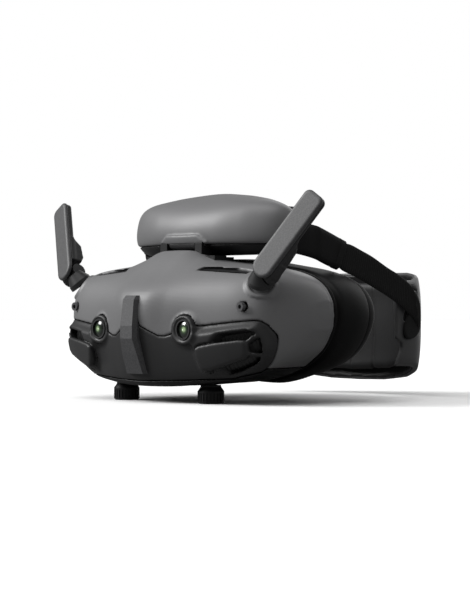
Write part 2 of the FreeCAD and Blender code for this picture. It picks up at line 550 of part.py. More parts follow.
hub = Part.makeCone(val("hub_rad"), 3.9, 5.0, BASE - H0 * 1.2, H0)
hub = hub.fuse(cyl(val("hub_rad"), BASE - H0 * 3.4, H0, 2.2))
hub = hub.cut(cyl(4.4, FOLD + W0 * 3.2, W0, 9.0)).fuse(cyl(3.8, FOLD - W0 * 3.2, W0, 6.4))
pin = cyl(1.0, FOLD - W0 * 2.0, W0, 10.2)
hub = hub.fuse(pin)
hub = one(hub)
back = one(back.removeSplitter())
for s, side_name in ((1, "left"), (-1, "right")):
    for label, shp in (("antenna_hub_", hub), ("antenna_cover_", front_face), ("antenna_body_", back)):
        shape_part(label + side_name, shp if s > 0 else mirrored(shp))
print("antenna", hub.isValid(), front_face.isValid(), back.isValid(), "fold", FOLD, "w", W0, "h", H0, "overlap", hub.common(back).Volume, hub.common(front_face).Volume, back.common(front_face).Volume, back.common(outer_grey).Volume)

# ---------------------------------------------------------------- forehead unit
FORE = [
    (0.0, [(66, 75.8), (50, 75.6), (37, 75.7), (32.6, 78.0), (29.0, 82.6), (28.6, 85.5), (30, 93), (36, 101), (48, 106), (60, 107.8), (66, 105.5)]),
    (20.0, [(65, 75.8), (50, 75.6), (38.2, 75.7), (34.0, 78.0), (30.5, 82.6), (30.1, 85.5), (31.3, 93), (36.8, 101), (47, 105.3), (58, 106.4), (65, 103.6)]),
    (35.0, [(64, 75.9), (51, 75.7), (41, 75.9), (37.4, 78.2), (34.2, 82.8), (33.8, 85.7), (34.8, 93), (39, 100.4), (47, 103.8), (58, 104), (64, 101.0)]),
    (45.0, [(63, 76.4), (52, 76.2), (45, 76.5), (41.6, 78.6), (38.7, 83.0), (38.3, 85.8), (39.2, 92.5), (42.6, 99.2), (49, 102.2), (57, 101.4), (63, 98)]),
    (51.5, [(62, 77.8), (54, 77.6), (48.8, 77.9), (45.9, 79.8), (43.5, 83.5), (43.2, 86.0), (43.9, 91.8), (46.6, 97.4), (51, 99.5), (57, 98.2), (62, 94.6)]),
    (55.0, [(61, 80.7), (55.5, 80.5), (52.4, 80.8), (50.4, 82.3), (48.8, 85), (48.6, 87), (49.1, 90.6), (51.0, 94), (54.2, 95), (58, 93.4), (61, 91)]),
]
fore_outer = body_loft([(x, list(reversed(p))) for x, p in FORE])


def fore_inset(pts, t):
    n = len(pts)
    out = []
    for i, (a, b) in enumerate(pts):
        p, q = pts[max(i - 1, 0)], pts[min(i + 1, n - 1)]
        ta, tb = q[0] - p[0], q[1] - p[1]
        L = math.hypot(ta, tb)
        out.append((a + tb / L * t, b - ta / L * t))
    out[0] = (pts[0][0] - t, out[0][1])
    out[-1] = (pts[-1][0] - t, out[-1][1])
    return out


fore_inner = body_loft([(x * 0.96, list(reversed(fore_inset(p, 1.9)))) for x, p in FORE[:-1]])
SPLIT = 83.0
notch = box(-16.2, 16.2, 20.0, 37.0, 70.0, 84.5)
hollow = fore_outer.cut(fore_inner)
housing = hollow.common(box(-70, 70, 20, 80, SPLIT + gap, 120)).cut(notch)
power_hole = cyl(3.2 + val("button_gap"), (-24, 55, 90), (0, 0, 1), 30)
housing = one(housing.cut(power_hole))
shape_part("forehead_housing", housing)
# black tray closing the underside and carrying the hinge block
tray = hollow.common(box(-70, 70, 20, 80, 60, SPLIT))
tray = tray.fuse(fore_outer.common(box(-17.8, 17.8, 36.0, 38.6, 70.0, SPLIT)))
tray = tray.fuse(fore_outer.common(box(-17.8, -16.2, 20, 38.6, 70.0, SPLIT))).fuse(fore_outer.common(box(16.2, 17.8, 20, 38.6, 70.0, SPLIT)))
tray = tray.cut(notch)
HY, HZ = 31.0, 81.0
block = cyl(2.5, (-val("hinge_half"), HY, HZ), (1, 0, 0), 2 * val("hinge_half")).fuse(box(-val("hinge_half"), val("hinge_half"), 31.4, 37.2, 79.4, 82.9))
tray = tray.fuse(block).cut(cyl(1.56, (-16.0, HY, HZ), (1, 0, 0), 32))
tray = one(tray.removeSplitter())
shape_part("forehead_tray", tray)
print("fore", fore_outer.isValid(), housing.isValid(), tray.isValid(), tray.common(housing).Volume)
cells = []
for x0 in (-48.0, 2.0):
    cells.append(box(x0, x0 + val("battery_long"), 47.0, 47.0 + val("battery_deep"), 87.4, 87.4 + val("battery_tall") - 5.0))
bat = [one(c.common(body_loft([(x * 0.9, list(reversed(fore_inset(p, 2.6)))) for x, p in FORE[:-1]]))) for c in cells]
shape_part("battery_cells", Part.makeCompound(bat))
pad_body("battery_board", [(-18, 0), (18, 0), (18, 8), (-18, 8)], "dims.board_thick", Placement(V(0, 36.5, 88.0), Rotation()))
rev_body("power_button", [(0, 0), (3.2, 0), (3.2, 5.4), (2.7, 5.8), (0, 5.8)], Placement(V(-24, 55, 99.8), Rotation()))
# forehead cushion behind the housing
pad_prof = [(0, 68.2, 77.0), (25, 66.0, 75.5), (40, 62.4, 70.0), (49, 60.2, 64.5)]
outl = [(x, a) for x, a, b in pad_prof] + [(x, b) for x, a, b in reversed(pad_prof)]
outl = [(x, y + 0.3) for x, y in outl]
full = outl + [(-x, y) for x, y in reversed(outl) if x > 0.01]
cushion = prism_z(full, 84.5, 103.0)
cz = [(-50, 88), (-46, 84.5), (46, 84.5), (50, 88), (50, 95), (40, 100), (0, 103), (-40, 100), (-50, 95)]
cushion = cushion.common(prism_y(cz, 50, 90)).cut(fore_outer).cut(tray)
shape_part("forehead_cushion", one(cushion))

# ---------------------------------------------------------------- hinge bracket and pin on the main unit
LUG = [(27.6, 73.4), (35.6, 73.4), (34.2, 81.4), (32.6, 83.0), (29.4, 83.0), (27.8, 81.4)]
brk = box(-25.5, 25.5, 27.5, 35.8, 70.0, 75.0).fuse(box(-25.5, 25.5, 35.7, 41.0, 70.0, 74.3)).fuse(prism_x(LUG, -15.6, -10.6)).fuse(prism_x(LUG, 10.6, 15.6))
brk = brk.cut(box(-10.6, 10.6, 20, 50, 77.7, 90)).cut(cyl(1.5, (-15.6, HY, HZ), (1, 0, 0), 31.2)).cut(outer_grey)
brk = one(brk)
shape_part("hinge_bracket", brk)
rev_body("hinge_pin", [(0, 0), (1.1, 0), (1.5, 0.4), (1.5, 30.4), (1.1, 30.8), (0, 30.8)], Placement(V(-15.4, HY, HZ), Rotation(V(0, 1, 0), 90)))
print("bracket", brk.isValid(), len(brk.Solids), brk.common(tray).Volume, brk.common(housing).Volume)

# ---------------------------------------------------------------- sleeves, straps, rear cradle
T0 = V(0, 0.925, -0.38)
T0.normalize()
P0 = V(0, 0.38, 0.925)
P0.normalize()
C0 = V(0, 85.8, 73.3)


def strip(s0, s1, p0, p1, x0, x1):
    """A flat strip in the strap's slanted plane: s along, p across, x through."""
    q = [C0 + T0 * s0 + P0 * p0, C0 + T0 * s1 + P0 * p0, C0 + T0 * s1 + P0 * p1, C0 + T0 * s0 + P0 * p1]
    q = [V(x0, p.y, p.z) for p in q]
    return Part.Face(Part.makePolygon(q + [q[0]])).extrude(V(x1 - x0, 0, 0))


sleeve = prism_x([(58.6, 90.2), (72, 86.4), (85.8, 81.9), (80.3, 66.8), (70, 69.9), (58.6, 73.6)], 61.3, 65.7)
sleeve = sleeve.fuse(box(50.0, 61.6, 58.8, 62.6, 80.0, 89.0))
sleeve = sleeve.cut(strip(-27.0, 8, -7.85, 4.55, 62.1, 64.9)).cut(fore_outer)
sleeve = one(sleeve)
strap = strip(0.7, 54.6, -7.95, 7.95, 62.4, 64.6)
strap = strap.fuse(strip(-25.5, 0.8, -7.5, 4.2, 62.4, 64.6))
strap = strap.fuse(strip(52.6, 54.6, -7.95, 7.95, 55.9, 64.0)).fuse(strip(37.0, 54.0, -7.95, 7.95, 55.9, 57.9))
strap = strap.removeSplitter()
for s, side_name in ((1, "left"), (-1, "right")):
    shape_part("strap_sleeve_" + side_name, sleeve if s > 0 else mirrored(sleeve))
    shape_part("strap_" + side_name, strap if s > 0 else mirrored(strap))


def plan_band(outer, inner_pts, z0, z1):
    pts = outer + [(-a, b) for a, b in reversed(outer) if a > 0.01] + [(-a, b) for a, b in inner_pts if a > 0.01] + list(reversed(inner_pts))
    # outer runs end -> centre, then mirrored back out; inner returns
    return prism_z(pts, z0, z1)


half_out = [(61.5, 119.5), (61.5, 138), (60.5, 143.5), (57.0, 149.5), (48, 157.5), (30, 165), (14, 167.4), (0, 168)]
half_in = [(58.5, 119.5), (58.5, 137.5), (57.6, 142.4), (54.6, 147.4), (46.2, 154.9), (29.2, 161.9), (13.7, 164.2), (0, 164.8)]
band = plan_band(half_out, half_in, 0, 90)
half_o = [(64, 36), (64, 56), (60.5, 62.5), (54, 66.0), (40, 67.5), (0, 67.8)]
half_u = [(64, 26), (60, 18.5), (52, 14.5), (40, 11.0), (20, 9.0), (0, 8.6)]
outline = half_o + [(-a, b) for a, b in reversed(half_o) if a > 0.01] + [(-a, b) for a, b in half_u if a > 0.01] + list(reversed(half_u))
# front-end side profile of the cradle (y, z)
ends = prism_x([(124.2, 56), (125.2, 62), (127.6, 66.6), (134, 68.2), (170, 68.2), (170, 8.0), (127, 8.0), (128.4, 23.4), (129.6, 27.6), (129.2, 30.1), (125.1, 32.4), (125.2, 40.6)], -70, 70)
cradle = band.common(prism_y(outline, 110, 175)).common(ends)
for s in (1, -1):
    slot = strip(50.4, 56.4, -9.0, 9.0, 50, 70)
    if s < 0:
        slot = mirrored(slot)
    cradle = cradle.cut(slot)
cradle = one(cradle)
shape_part("cradle_shell", cradle)
pin_out = [(52.2, 147.0), (45.0, 153.6), (28.6, 160.6), (13.5, 163.0), (0, 163.6)]
pin_in = [(47.4, 143.0), (41.2, 148.6), (26.4, 154.6), (12.5, 156.8), (0, 157.4)]
pad_o = [(50, 36), (49, 52), (44, 59), (30, 62.0), (0, 62.6)]
pad_u = [(49, 26), (44, 19), (30, 15.4), (0, 14.0)]
po = pad_o + [(-a, b) for a, b in reversed(pad_o) if a > 0.01] + [(-a, b) for a, b in pad_u if a > 0.01] + list(reversed(pad_u))
cpad = one(plan_band(pin_out, pin_in, 0, 90).common(prism_y(po, 110, 175)))
shape_part("cradle_pad", cpad)
print("rear", sleeve.isValid(), strap.isValid(), cradle.isValid(), cpad.isValid(), "overlaps", sleeve.common(strap).Volume, cradle.common(strap).Volume, cradle.common(cpad).Volume, sleeve.common(housing).Volume, sleeve.common(tray).Volume)

# ---------------------------------------------------------------- checks and export
doc.recompute()
os.makedirs("parts", exist_ok=True)
bad = []
lo, hi = [1e9] * 3, [-1e9] * 3
for o in doc.Objects:
    if set(o.State) & {"Invalid", "Error"}:
        bad.append((o.Name, o.State))
for label, obj in finals:
    sh = obj.Shape
    if sh.isNull() or not sh.isValid() or not sh.Solids or sh.Volume <= 0:
        bad.append((label, "shape"))
        continue
    b = sh.BoundBox
    for k, (p, q) in enumerate(((b.XMin, b.XMax), (b.YMin, b.YMax), (b.ZMin, b.ZMax))):
        lo[k], hi[k] = min(lo[k], p), max(hi[k], q)
    sh.exportStep("parts/%s.step" % label)
print("nodes", len(finals), "box", [round(v, 2) for v in lo], [round(v, 2) for v in hi])
if bad:
    raise SystemExit("bad: %s" % bad)
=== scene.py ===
import bpy
import bmesh
import json
import math
import numpy as np
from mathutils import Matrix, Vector


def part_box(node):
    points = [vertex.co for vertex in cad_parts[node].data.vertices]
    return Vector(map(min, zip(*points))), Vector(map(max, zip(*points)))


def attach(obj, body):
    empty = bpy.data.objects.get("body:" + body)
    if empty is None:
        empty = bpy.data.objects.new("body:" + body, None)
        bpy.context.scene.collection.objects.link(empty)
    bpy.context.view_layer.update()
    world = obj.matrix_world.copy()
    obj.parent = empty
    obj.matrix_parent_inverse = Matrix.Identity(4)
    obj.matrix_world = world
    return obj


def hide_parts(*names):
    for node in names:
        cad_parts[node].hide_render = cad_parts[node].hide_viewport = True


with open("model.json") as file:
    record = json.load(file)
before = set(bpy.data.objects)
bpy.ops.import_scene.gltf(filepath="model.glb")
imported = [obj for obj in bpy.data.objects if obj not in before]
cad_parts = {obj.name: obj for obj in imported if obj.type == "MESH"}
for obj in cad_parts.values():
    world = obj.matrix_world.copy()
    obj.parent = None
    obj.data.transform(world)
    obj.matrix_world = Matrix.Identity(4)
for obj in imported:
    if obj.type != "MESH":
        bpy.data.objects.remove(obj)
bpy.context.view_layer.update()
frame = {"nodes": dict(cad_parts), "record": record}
BACK, DOWN = 79.25, 0.8


# ------------------------------------------------------------------ materials
def bits(name):
    m = bpy.data.materials.new(name)
    m.use_nodes = True
    nt = m.node_tree
    bsdf = nt.nodes["Principled BSDF"]
    return m, nt, bsdf


def surface_mat(name, base, rough, spread=0.06, grain=900.0, bump=0.02, big=14.0, big_spread=0.05, metallic=0.0, spec=0.5, coat=0.0, coat_rough=0.1, sheen=0.0, wave=None, speckle=0.0, rough_spread=0.05, alpha=1.0, transmission=0.0):
    """Procedural finish: large soft tone drift, fine grain in colour, roughness and bump; optional woven wave."""
    m, nt, b = bits(name)
    N, L = nt.nodes, nt.links
    co = N.new("ShaderNodeTexCoord")
    fine = N.new("ShaderNodeTexNoise")
    fine.inputs["Scale"].default_value = grain
    fine.inputs["Detail"].default_value = 3.0
    L.new(co.outputs["Object"], fine.inputs["Vector"])
    soft = N.new("ShaderNodeTexNoise")
    soft.inputs["Scale"].default_value = big
    soft.inputs["Detail"].default_value = 2.0
    L.new(co.outputs["Object"], soft.inputs["Vector"])
    r1 = N.new("ShaderNodeMapRange")
    r1.inputs["To Min"].default_value = 1.0 - spread
    r1.inputs["To Max"].default_value = 1.0 + spread
    L.new(fine.outputs["Fac"], r1.inputs["Value"])
    r2 = N.new("ShaderNodeMapRange")
    r2.inputs["To Min"].default_value = 1.0 - big_spread
    r2.inputs["To Max"].default_value = 1.0 + big_spread
    L.new(soft.outputs["Fac"], r2.inputs["Value"])
    mul = N.new("ShaderNodeMath")
    mul.operation = "MULTIPLY"
    L.new(r1.outputs[0], mul.inputs[0])
    L.new(r2.outputs[0], mul.inputs[1])
    tone = mul.outputs[0]
    if speckle:
        v = N.new("ShaderNodeTexVoronoi")
        v.inputs["Scale"].default_value = 1500.0
        L.new(co.outputs["Object"], v.inputs["Vector"])
        r4 = N.new("ShaderNodeMapRange")
        r4.inputs["From Max"].default_value = 0.6
        r4.inputs["To Min"].default_value = 1.0 + speckle
        r4.inputs["To Max"].default_value = 1.0 - speckle
        L.new(v.outputs["Distance"], r4.inputs["Value"])
        mu = N.new("ShaderNodeMath")
        mu.operation = "MULTIPLY"
        L.new(tone, mu.inputs[0])
        L.new(r4.outputs[0], mu.inputs[1])
        tone = mu.outputs[0]
    height = fine.outputs["Fac"]
    if wave:
        scale, direction, depth = wave
        mp = N.new("ShaderNodeMapping")
        mp.inputs["Rotation"].default_value = direction
        L.new(co.outputs["Object"], mp.inputs["Vector"])
        w = N.new("ShaderNodeTexWave")
        w.inputs["Scale"].default_value = scale
        w.inputs["Distortion"].default_value = 0.3
        L.new(mp.outputs[0], w.inputs["Vector"])
        r5 = N.new("ShaderNodeMapRange")
        r5.inputs["To Min"].default_value = 1.0 - depth
        r5.inputs["To Max"].default_value = 1.0 + depth
        L.new(w.outputs["Fac"], r5.inputs["Value"])
        mu = N.new("ShaderNodeMath")
        mu.operation = "MULTIPLY"
        L.new(tone, mu.inputs[0])
        L.new(r5.outputs[0], mu.inputs[1])
        tone = mu.outputs[0]
        ad = N.new("ShaderNodeMath")
        ad.operation = "ADD"
        L.new(height, ad.inputs[0])
        L.new(w.outputs["Fac"], ad.inputs[1])
        height = ad.outputs[0]
    vm = N.new("ShaderNodeVectorMath")
    vm.operation = "SCALE"
    vm.inputs[0].default_value = base[:3]
    L.new(tone, vm.inputs["Scale"])
    L.new(vm.outputs[0], b.inputs["Base Color"])
    r3 = N.new("ShaderNodeMapRange")
    r3.inputs["To Min"].default_value = max(0.02, rough - rough_spread)
    r3.inputs["To Max"].default_value = min(1.0, rough + rough_spread)
    L.new(fine.outputs["Fac"], r3.inputs["Value"])
    L.new(r3.outputs[0], b.inputs["Roughness"])
    bp = N.new("ShaderNodeBump")
    bp.inputs["Strength"].default_value = 1.0
    bp.inputs["Distance"].default_value = bump * 0.001
    L.new(height, bp.inputs["Height"])
    L.new(bp.outputs[0], b.inputs["Normal"])
    b.inputs["Metallic"].default_value = metallic
    b.inputs["Specular IOR Level"].default_value = spec
    b.inputs["Coat Weight"].default_value = coat
    b.inputs["Coat Roughness"].default_value = coat_rough
    b.inputs["Sheen Weight"].default_value = sheen
    b.inputs["Alpha"].default_value = alpha
    b.inputs["Transmission Weight"].default_value = transmission
    return m


MATS = {
    "shell_grey": surface_mat("shell_grey", (0.150, 0.150, 0.153), 0.46, spread=0.05, grain=1400, bump=0.012, spec=0.42),
    "cover_dark": surface_mat("cover_dark", (0.0165, 0.0165, 0.0172), 0.47, spread=0.08, grain=1300, bump=0.014, spec=0.40),
    "bar_texture": surface_mat("bar_texture", (0.062, 0.062, 0.065), 0.50, spread=0.30, grain=1100, bump=0.05, speckle=0.25),
    "black_plastic": surface_mat("black_plastic", (0.0075, 0.0075, 0.008), 0.46, spread=0.1, grain=1200, bump=0.012, spec=0.28),
    "ring_metal": surface_mat("ring_metal", (0.10, 0.105, 0.10), 0.30, grain=900, bump=0.008, metallic=0.6),
    "board_green": surface_mat("board_green", (0.02, 0.10, 0.05), 0.4, spread=0.2, grain=500, bump=0.02),
    "steel": surface_mat("steel", (0.15, 0.15, 0.155), 0.33, grain=1000, bump=0.01, metallic=0.85),
    "heat_metal": surface_mat("heat_metal", (0.55, 0.55, 0.57), 0.4, grain=800, bump=0.02, metallic=1.0),
    "mask_rubber": surface_mat("mask_rubber", (0.0036, 0.0036, 0.0038), 0.55, spread=0.1, grain=1100, bump=0.016, spec=0.16, sheen=0.0),
    "foam": surface_mat("foam", (0.012, 0.012, 0.0125), 0.85, spread=0.3, grain=1500, bump=0.12, sheen=0.15),
    "strap_web": surface_mat("strap_web", (0.0080, 0.0080, 0.0082), 0.72, spread=0.25, grain=1600, bump=0.04, spec=0.22, sheen=0.03),
    "pad_leather": surface_mat("pad_leather", (0.0095, 0.0095, 0.0100), 0.55, spread=0.12, grain=700, bump=0.05, spec=0.3),
    "antenna_grey": surface_mat("antenna_grey", (0.058, 0.058, 0.060), 0.50, spread=0.25, grain=1000, bump=0.04, speckle=0.28),
    "clear_glass": surface_mat("clear_glass", (0.6, 0.62, 0.65), 0.06, spread=0.02, grain=300, bump=0.0005, transmission=0.8, rough_spread=0.01),
    "panel": surface_mat("panel", (0.01, 0.01, 0.012), 0.12, spread=0.1, grain=400, bump=0.002, rough_spread=0.02),
    "battery_wrap": surface_mat("battery_wrap", (0.05, 0.12, 0.3), 0.35, spread=0.1, grain=300, bump=0.05),
}
# darker copy of the shell grey for the rear cradle, whose slot is the shell grey: painted shade
CRADLE_PAINTED_SHADE_GREY = surface_mat("cradle_painted_shade_grey", (0.060, 0.060, 0.0615), 0.46, spread=0.05, grain=1300, bump=0.012, spec=0.42)
SLEEVE_MAT = surface_mat("sleeve_cloth", (0.0075, 0.0075, 0.0078), 0.80, spread=0.35, grain=2200, bump=0.04, spec=0.2, sheen=0.03, wave=(900.0, (0.9, 0.0, 0.0), 0.12))
GRILLE_MAT = surface_mat("grille_black", (0.006, 0.006, 0.0062), 0.5, spread=0.1, grain=900, bump=0.02)


def lens_glass_painted_highlight_mat():
    """Dark coated lens with a painted green-white highlight in the middle, graded by distance from each lens axis."""
    m, nt, b = bits("glass_green")
    N, L = nt.nodes, nt.links
    co = N.new("ShaderNodeTexCoord")
    sp = N.new("ShaderNodeSeparateXYZ")
    L.new(co.outputs["Object"], sp.inputs[0])
    ab = N.new("ShaderNodeMath")
    ab.operation = "ABSOLUTE"
    L.new(sp.outputs["X"], ab.inputs[0])
    cb = N.new("ShaderNodeCombineXYZ")
    L.new(ab.outputs[0], cb.inputs["X"])
    L.new(sp.outputs["Z"], cb.inputs["Z"])
    di = N.new("ShaderNodeVectorMath")
    di.operation = "DISTANCE"
    di.inputs[1].default_value = (0.0326, 0.0, 0.0371)
    L.new(cb.outputs[0], di.inputs[0])
    no = N.new("ShaderNodeTexNoise")
    no.inputs["Scale"].default_value = 420.0
    L.new(co.outputs["Object"], no.inputs["Vector"])
    sc = N.new("ShaderNodeMapRange")
    sc.inputs["To Min"].default_value = -0.0004
    sc.inputs["To Max"].default_value = 0.0004
    L.new(no.outputs["Fac"], sc.inputs["Value"])
    ad = N.new("ShaderNodeMath")
    ad.operation = "ADD"
    L.new(di.outputs["Value"], ad.inputs[0])
    L.new(sc.outputs[0], ad.inputs[1])
    mr = N.new("ShaderNodeMapRange")
    mr.inputs["From Max"].default_value = 0.004
    L.new(ad.outputs[0], mr.inputs["Value"])
    # colour ramp: painted green-white highlight at the lens centre, fading to the dark lens colour
    cr = N.new("ShaderNodeValToRGB")
    e = cr.color_ramp.elements
    e[0].position, e[0].color = 0.0, (0.50, 0.60, 0.40, 1)
    e[1].position, e[1].color = 1.0, (0.004, 0.005, 0.004, 1)
    x = e.new(0.22)
    x.color = (0.30, 0.42, 0.22, 1)
    x = e.new(0.40)
    x.color = (0.035, 0.065, 0.030, 1)
    x = e.new(0.62)
    x.color = (0.008, 0.013, 0.008, 1)
    L.new(mr.outputs[0], cr.inputs["Fac"])
    L.new(cr.outputs["Color"], b.inputs["Base Color"])
    b.inputs["Roughness"].default_value = 0.2
    b.inputs["Coat Weight"].default_value = 0.6
    b.inputs["Coat Roughness"].default_value = 0.05
    return m


MATS["glass_green"] = lens_glass_painted_highlight_mat()


# ------------------------------------------------------------------ helpers
def add_mesh(name, verts, faces, mat, body, slot=None, smooth=True):
    """verts in the working frame, millimetres."""
    v = np.asarray(verts, float).copy()
    v[:, 1] -= BACK
    v[:, 2] -= DOWN
    v *= 0.001
    me = bpy.data.meshes.new(name)
    f = np.asarray(faces)
    if f.ndim == 2:
        k = f.shape[1]
        me.vertices.add(len(v))
        me.vertices.foreach_set("co", v.ravel())
        me.loops.add(f.size)
        me.loops.foreach_set("vertex_index", f.ravel().astype(np.int32))
        me.polygons.add(len(f))
        me.polygons.foreach_set("loop_start", (np.arange(len(f)) * k).astype(np.int32))
        me.update(calc_edges=True)
    else:
        me.from_pydata([tuple(p) for p in v], [], [tuple(q) for q in faces])
    me.validate()
    me.update()
    if smooth:
        me.polygons.foreach_set("use_smooth", np.ones(len(me.polygons), bool))
    o = bpy.data.objects.new(name, me)
    bpy.context.scene.collection.objects.link(o)
    me.materials.append(mat)
    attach(o, body)
    return o


def fix_normals(o):
    bm = bmesh.new()
    bm.from_mesh(o.data)
    bmesh.ops.recalc_face_normals(bm, faces=bm.faces)
    bm.to_mesh(o.data)
    bm.free()


def cubic(pts, n, closed=False):
    """Points on a cubic spline through pts, chord-length parameter."""
    p = np.asarray(pts, float)
    if closed:
        m = len(p)
        p = np.vstack([p[-4:], p, p[:5]])
    d = np.r_[0, np.cumsum(np.maximum(np.linalg.norm(np.diff(p, axis=0), axis=1), 1e-6))]
    k = len(p)
    A = np.zeros((k, k))
    R = np.zeros((k, p.shape[1]))
    A[0, 0] = A[-1, -1] = 1
    h = np.diff(d)
    for i in range(1, k - 1):
        A[i, i - 1], A[i, i], A[i, i + 1] = h[i - 1], 2 * (h[i - 1] + h[i]), h[i]
        R[i] = 6 * ((p[i + 1] - p[i]) / h[i] - (p[i] - p[i - 1]) / h[i - 1])
    M = np.linalg.solve(A, R)
    if closed:
        t = np.linspace(d[4], d[4 + m], n, endpoint=False)
    else:
        t = np.linspace(d[0], d[-1], n)
    i = np.clip(np.searchsorted(d, t, side="right") - 1, 0, k - 2)
    hh = h[i][:, None]
    a = (d[i + 1] - t)[:, None] / hh
    b = (t - d[i])[:, None] / hh
    return a * p[i] + b * p[i + 1] + ((a ** 3 - a) * M[i] + (b ** 3 - b) * M[i + 1]) * hh ** 2 / 6


def pchip(x, y, q):
    """Monotone cubic interpolation of the rows y (k, ...) at q."""
    x = np.asarray(x, float)
    y = np.asarray(y, float)
    h = np.diff(x)
    sh = (-1,) + (1,) * (y.ndim - 1)
    dl = np.diff(y, axis=0) / h.reshape(sh)
    d = np.zeros_like(y)
    w1 = (2 * h[1:] + h[:-1]).reshape(sh)
    w2 = (h[1:] + 2 * h[:-1]).reshape(sh)
    ok = dl[1:] * dl[:-1] > 0
    with np.errstate(divide="ignore", invalid="ignore"):
        hm = (w1 + w2) / (w1 / dl[:-1] + w2 / dl[1:])
    d[1:-1] = np.where(ok, hm, 0)
    d[-1] = dl[-1]
    q = np.atleast_1d(np.asarray(q, float))
    i = np.clip(np.searchsorted(x, q, side="right") - 1, 0, len(x) - 2)
    t = ((q - x[i]) / h[i]).reshape(sh)
    hh = h[i].reshape(sh)
    return (2 * t ** 3 - 3 * t ** 2 + 1) * y[i] + (t ** 3 - 2 * t ** 2 + t) * hh * d[i] + (-2 * t ** 3 + 3 * t ** 2) * y[i + 1] + (t ** 3 - t ** 2) * hh * d[i + 1]


def poly_sdf(px, pz, poly):
    """Signed distance (negative inside) of flat point arrays to a closed polygon."""
    P = np.asarray(poly, float)
    Q = np.roll(P, -1, axis=0)
    best = np.full(px.shape, 1e9)
    inside = np.zeros(px.shape, bool)
    for (ax, az), (bx, bz) in zip(P, Q):
        ex, ez = bx - ax, bz - az
        wx, wz = px - ax, pz - az
        t = np.clip((wx * ex + wz * ez) / max(ex * ex + ez * ez, 1e-9), 0, 1)
        dx, dz = wx - t * ex, wz - t * ez
        best = np.minimum(best, dx * dx + dz * dz)
        c = (az > pz) != (bz > pz)
        if abs(ez) > 1e-12:
            inside ^= c & (px < ax + ex * (pz - az) / ez)
    return np.where(inside, -1, 1) * np.sqrt(best)


def smin(a, b, k):
    h = np.clip(0.5 + 0.5 * (b - a) / k, 0, 1)
    return b + (a - b) * h - k * h * (1 - h)


def smax(a, b, k):
    return -smin(-a, -b, k)


def sstep(t):
    t = np.clip(t, 0, 1)
    return t * t * (3 - 2 * t)


class Grid:
    def __init__(self, lo, hi, h):
        self.h = h
        self.n = [int(math.ceil((b - a) / h)) + 1 for a, b in zip(lo, hi)]
        self.ax = [a + h * np.arange(k) for a, k in zip(lo, self.n)]
        self.X, self.Y, self.Z = (self.ax[0][:, None, None], self.ax[1][None, :, None], self.ax[2][None, None, :])

    def full(self, v=0.0):
        return np.full(self.n, v, np.float32)

    def xz(self, poly):
        X, Z = np.meshgrid(self.ax[0], self.ax[2], indexing="ij")
        return poly_sdf(X, Z, poly)[:, None, :]

    def mesh(self, F):
        """Vectorised surface nets. Returns vertices and quads."""
        F = np.asarray(np.broadcast_to(F, self.n), np.float32)
        s = F < 0
        c = np.zeros([k - 1 for k in self.n], np.int8)
        for i in (0, 1):
            for j in (0, 1):
                for k in (0, 1):
                    c += s[i:s.shape[0] - 1 + i, j:s.shape[1] - 1 + j, k:s.shape[2] - 1 + k]
        act = (c > 0) & (c < 8)
        idx = np.full(act.shape, -1, np.int64)
        cells = np.argwhere(act)
        idx[act] = np.arange(len(cells))
        acc = np.zeros((len(cells), 3))
        cnt = np.zeros(len(cells))
        corners = [(i, j, k) for i in (0, 1) for j in (0, 1) for k in (0, 1)]
        vals = {q: F[cells[:, 0] + q[0], cells[:, 1] + q[1], cells[:, 2] + q[2]] for q in corners}
        for q in corners:
            for ax in range(3):
                if q[ax] == 1:
                    continue
                r = list(q)
                r[ax] = 1
                r = tuple(r)
                a, b = vals[q], vals[r]
                m = (a < 0) != (b < 0)
                t = np.where(m, a / np.where(m, a - b, 1), 0)
                p = np.tile(np.array(q, float), (len(cells), 1))
                p[:, ax] = t
                acc[m] += p[m]
                cnt[m] += 1
        V = (cells + acc / np.maximum(cnt, 1)[:, None]) * self.h + np.array([a[0] for a in self.ax])
        quads = []
        for ax in range(3):
            a = [slice(1, -1)] * 3
            a[ax] = slice(0, -1)
            b = list(a)
            b[ax] = slice(1, None)
            s0, s1 = s[tuple(a)], s[tuple(b)]
            e = np.argwhere(s0 != s1)
            up = s0[tuple(e.T)]
            e = e + np.array([0 if i == ax else 1 for i in range(3)])
            u, v = [(1, 2), (2, 0), (0, 1)][ax]
            du, dv = np.zeros(3, int), np.zeros(3, int)
            du[u], dv[v] = 1, 1
            q = np.stack([idx[tuple((e - du - dv).T)], idx[tuple((e - dv).T)], idx[tuple(e.T)], idx[tuple((e - du).T)]], 1)
            q = np.where(up[:, None], q, q[:, ::-1])
            quads.append(q)
        Q = np.vstack(quads)
        Q = Q[(Q >= 0).all(1)]
        return V, Q


def mirror_join(V, Q):
    """Joins a half (X >= 0) with its mirror image; vertices on the plane are doubled, for weld() to merge afterwards.
    """
    V = V.copy()
    W = V.copy()
    W[:, 0] *= -1
    return np.vstack([V, W]), np.vstack([Q, Q[:, ::-1] + len(V)])


def two_halves(g, fp, fn):
    """The +X half from fp and the -X half from fn (both sampled at positive X)."""
    out = []
    for F, s in ((fp, 1), (fn, -1)):
        V, Q = g.mesh(F)
        Q = Q[V[Q].mean(1)[:, 0] > 0.0]
        V = np.clip(V, [0, -99, -99], None)
        V[:, 0] *= s
        out.append((V, Q if s > 0 else Q[:, ::-1]))
    return np.vstack([out[0][0], out[1][0]]), np.vstack([out[0][1], out[1][1] + len(out[0][0])])


def weld(o, dist=0.0001):
    bm = bmesh.new()
    bm.from_mesh(o.data)
    bmesh.ops.remove_doubles(bm, verts=bm.verts, dist=dist)
    bm.to_mesh(o.data)
    bm.free()


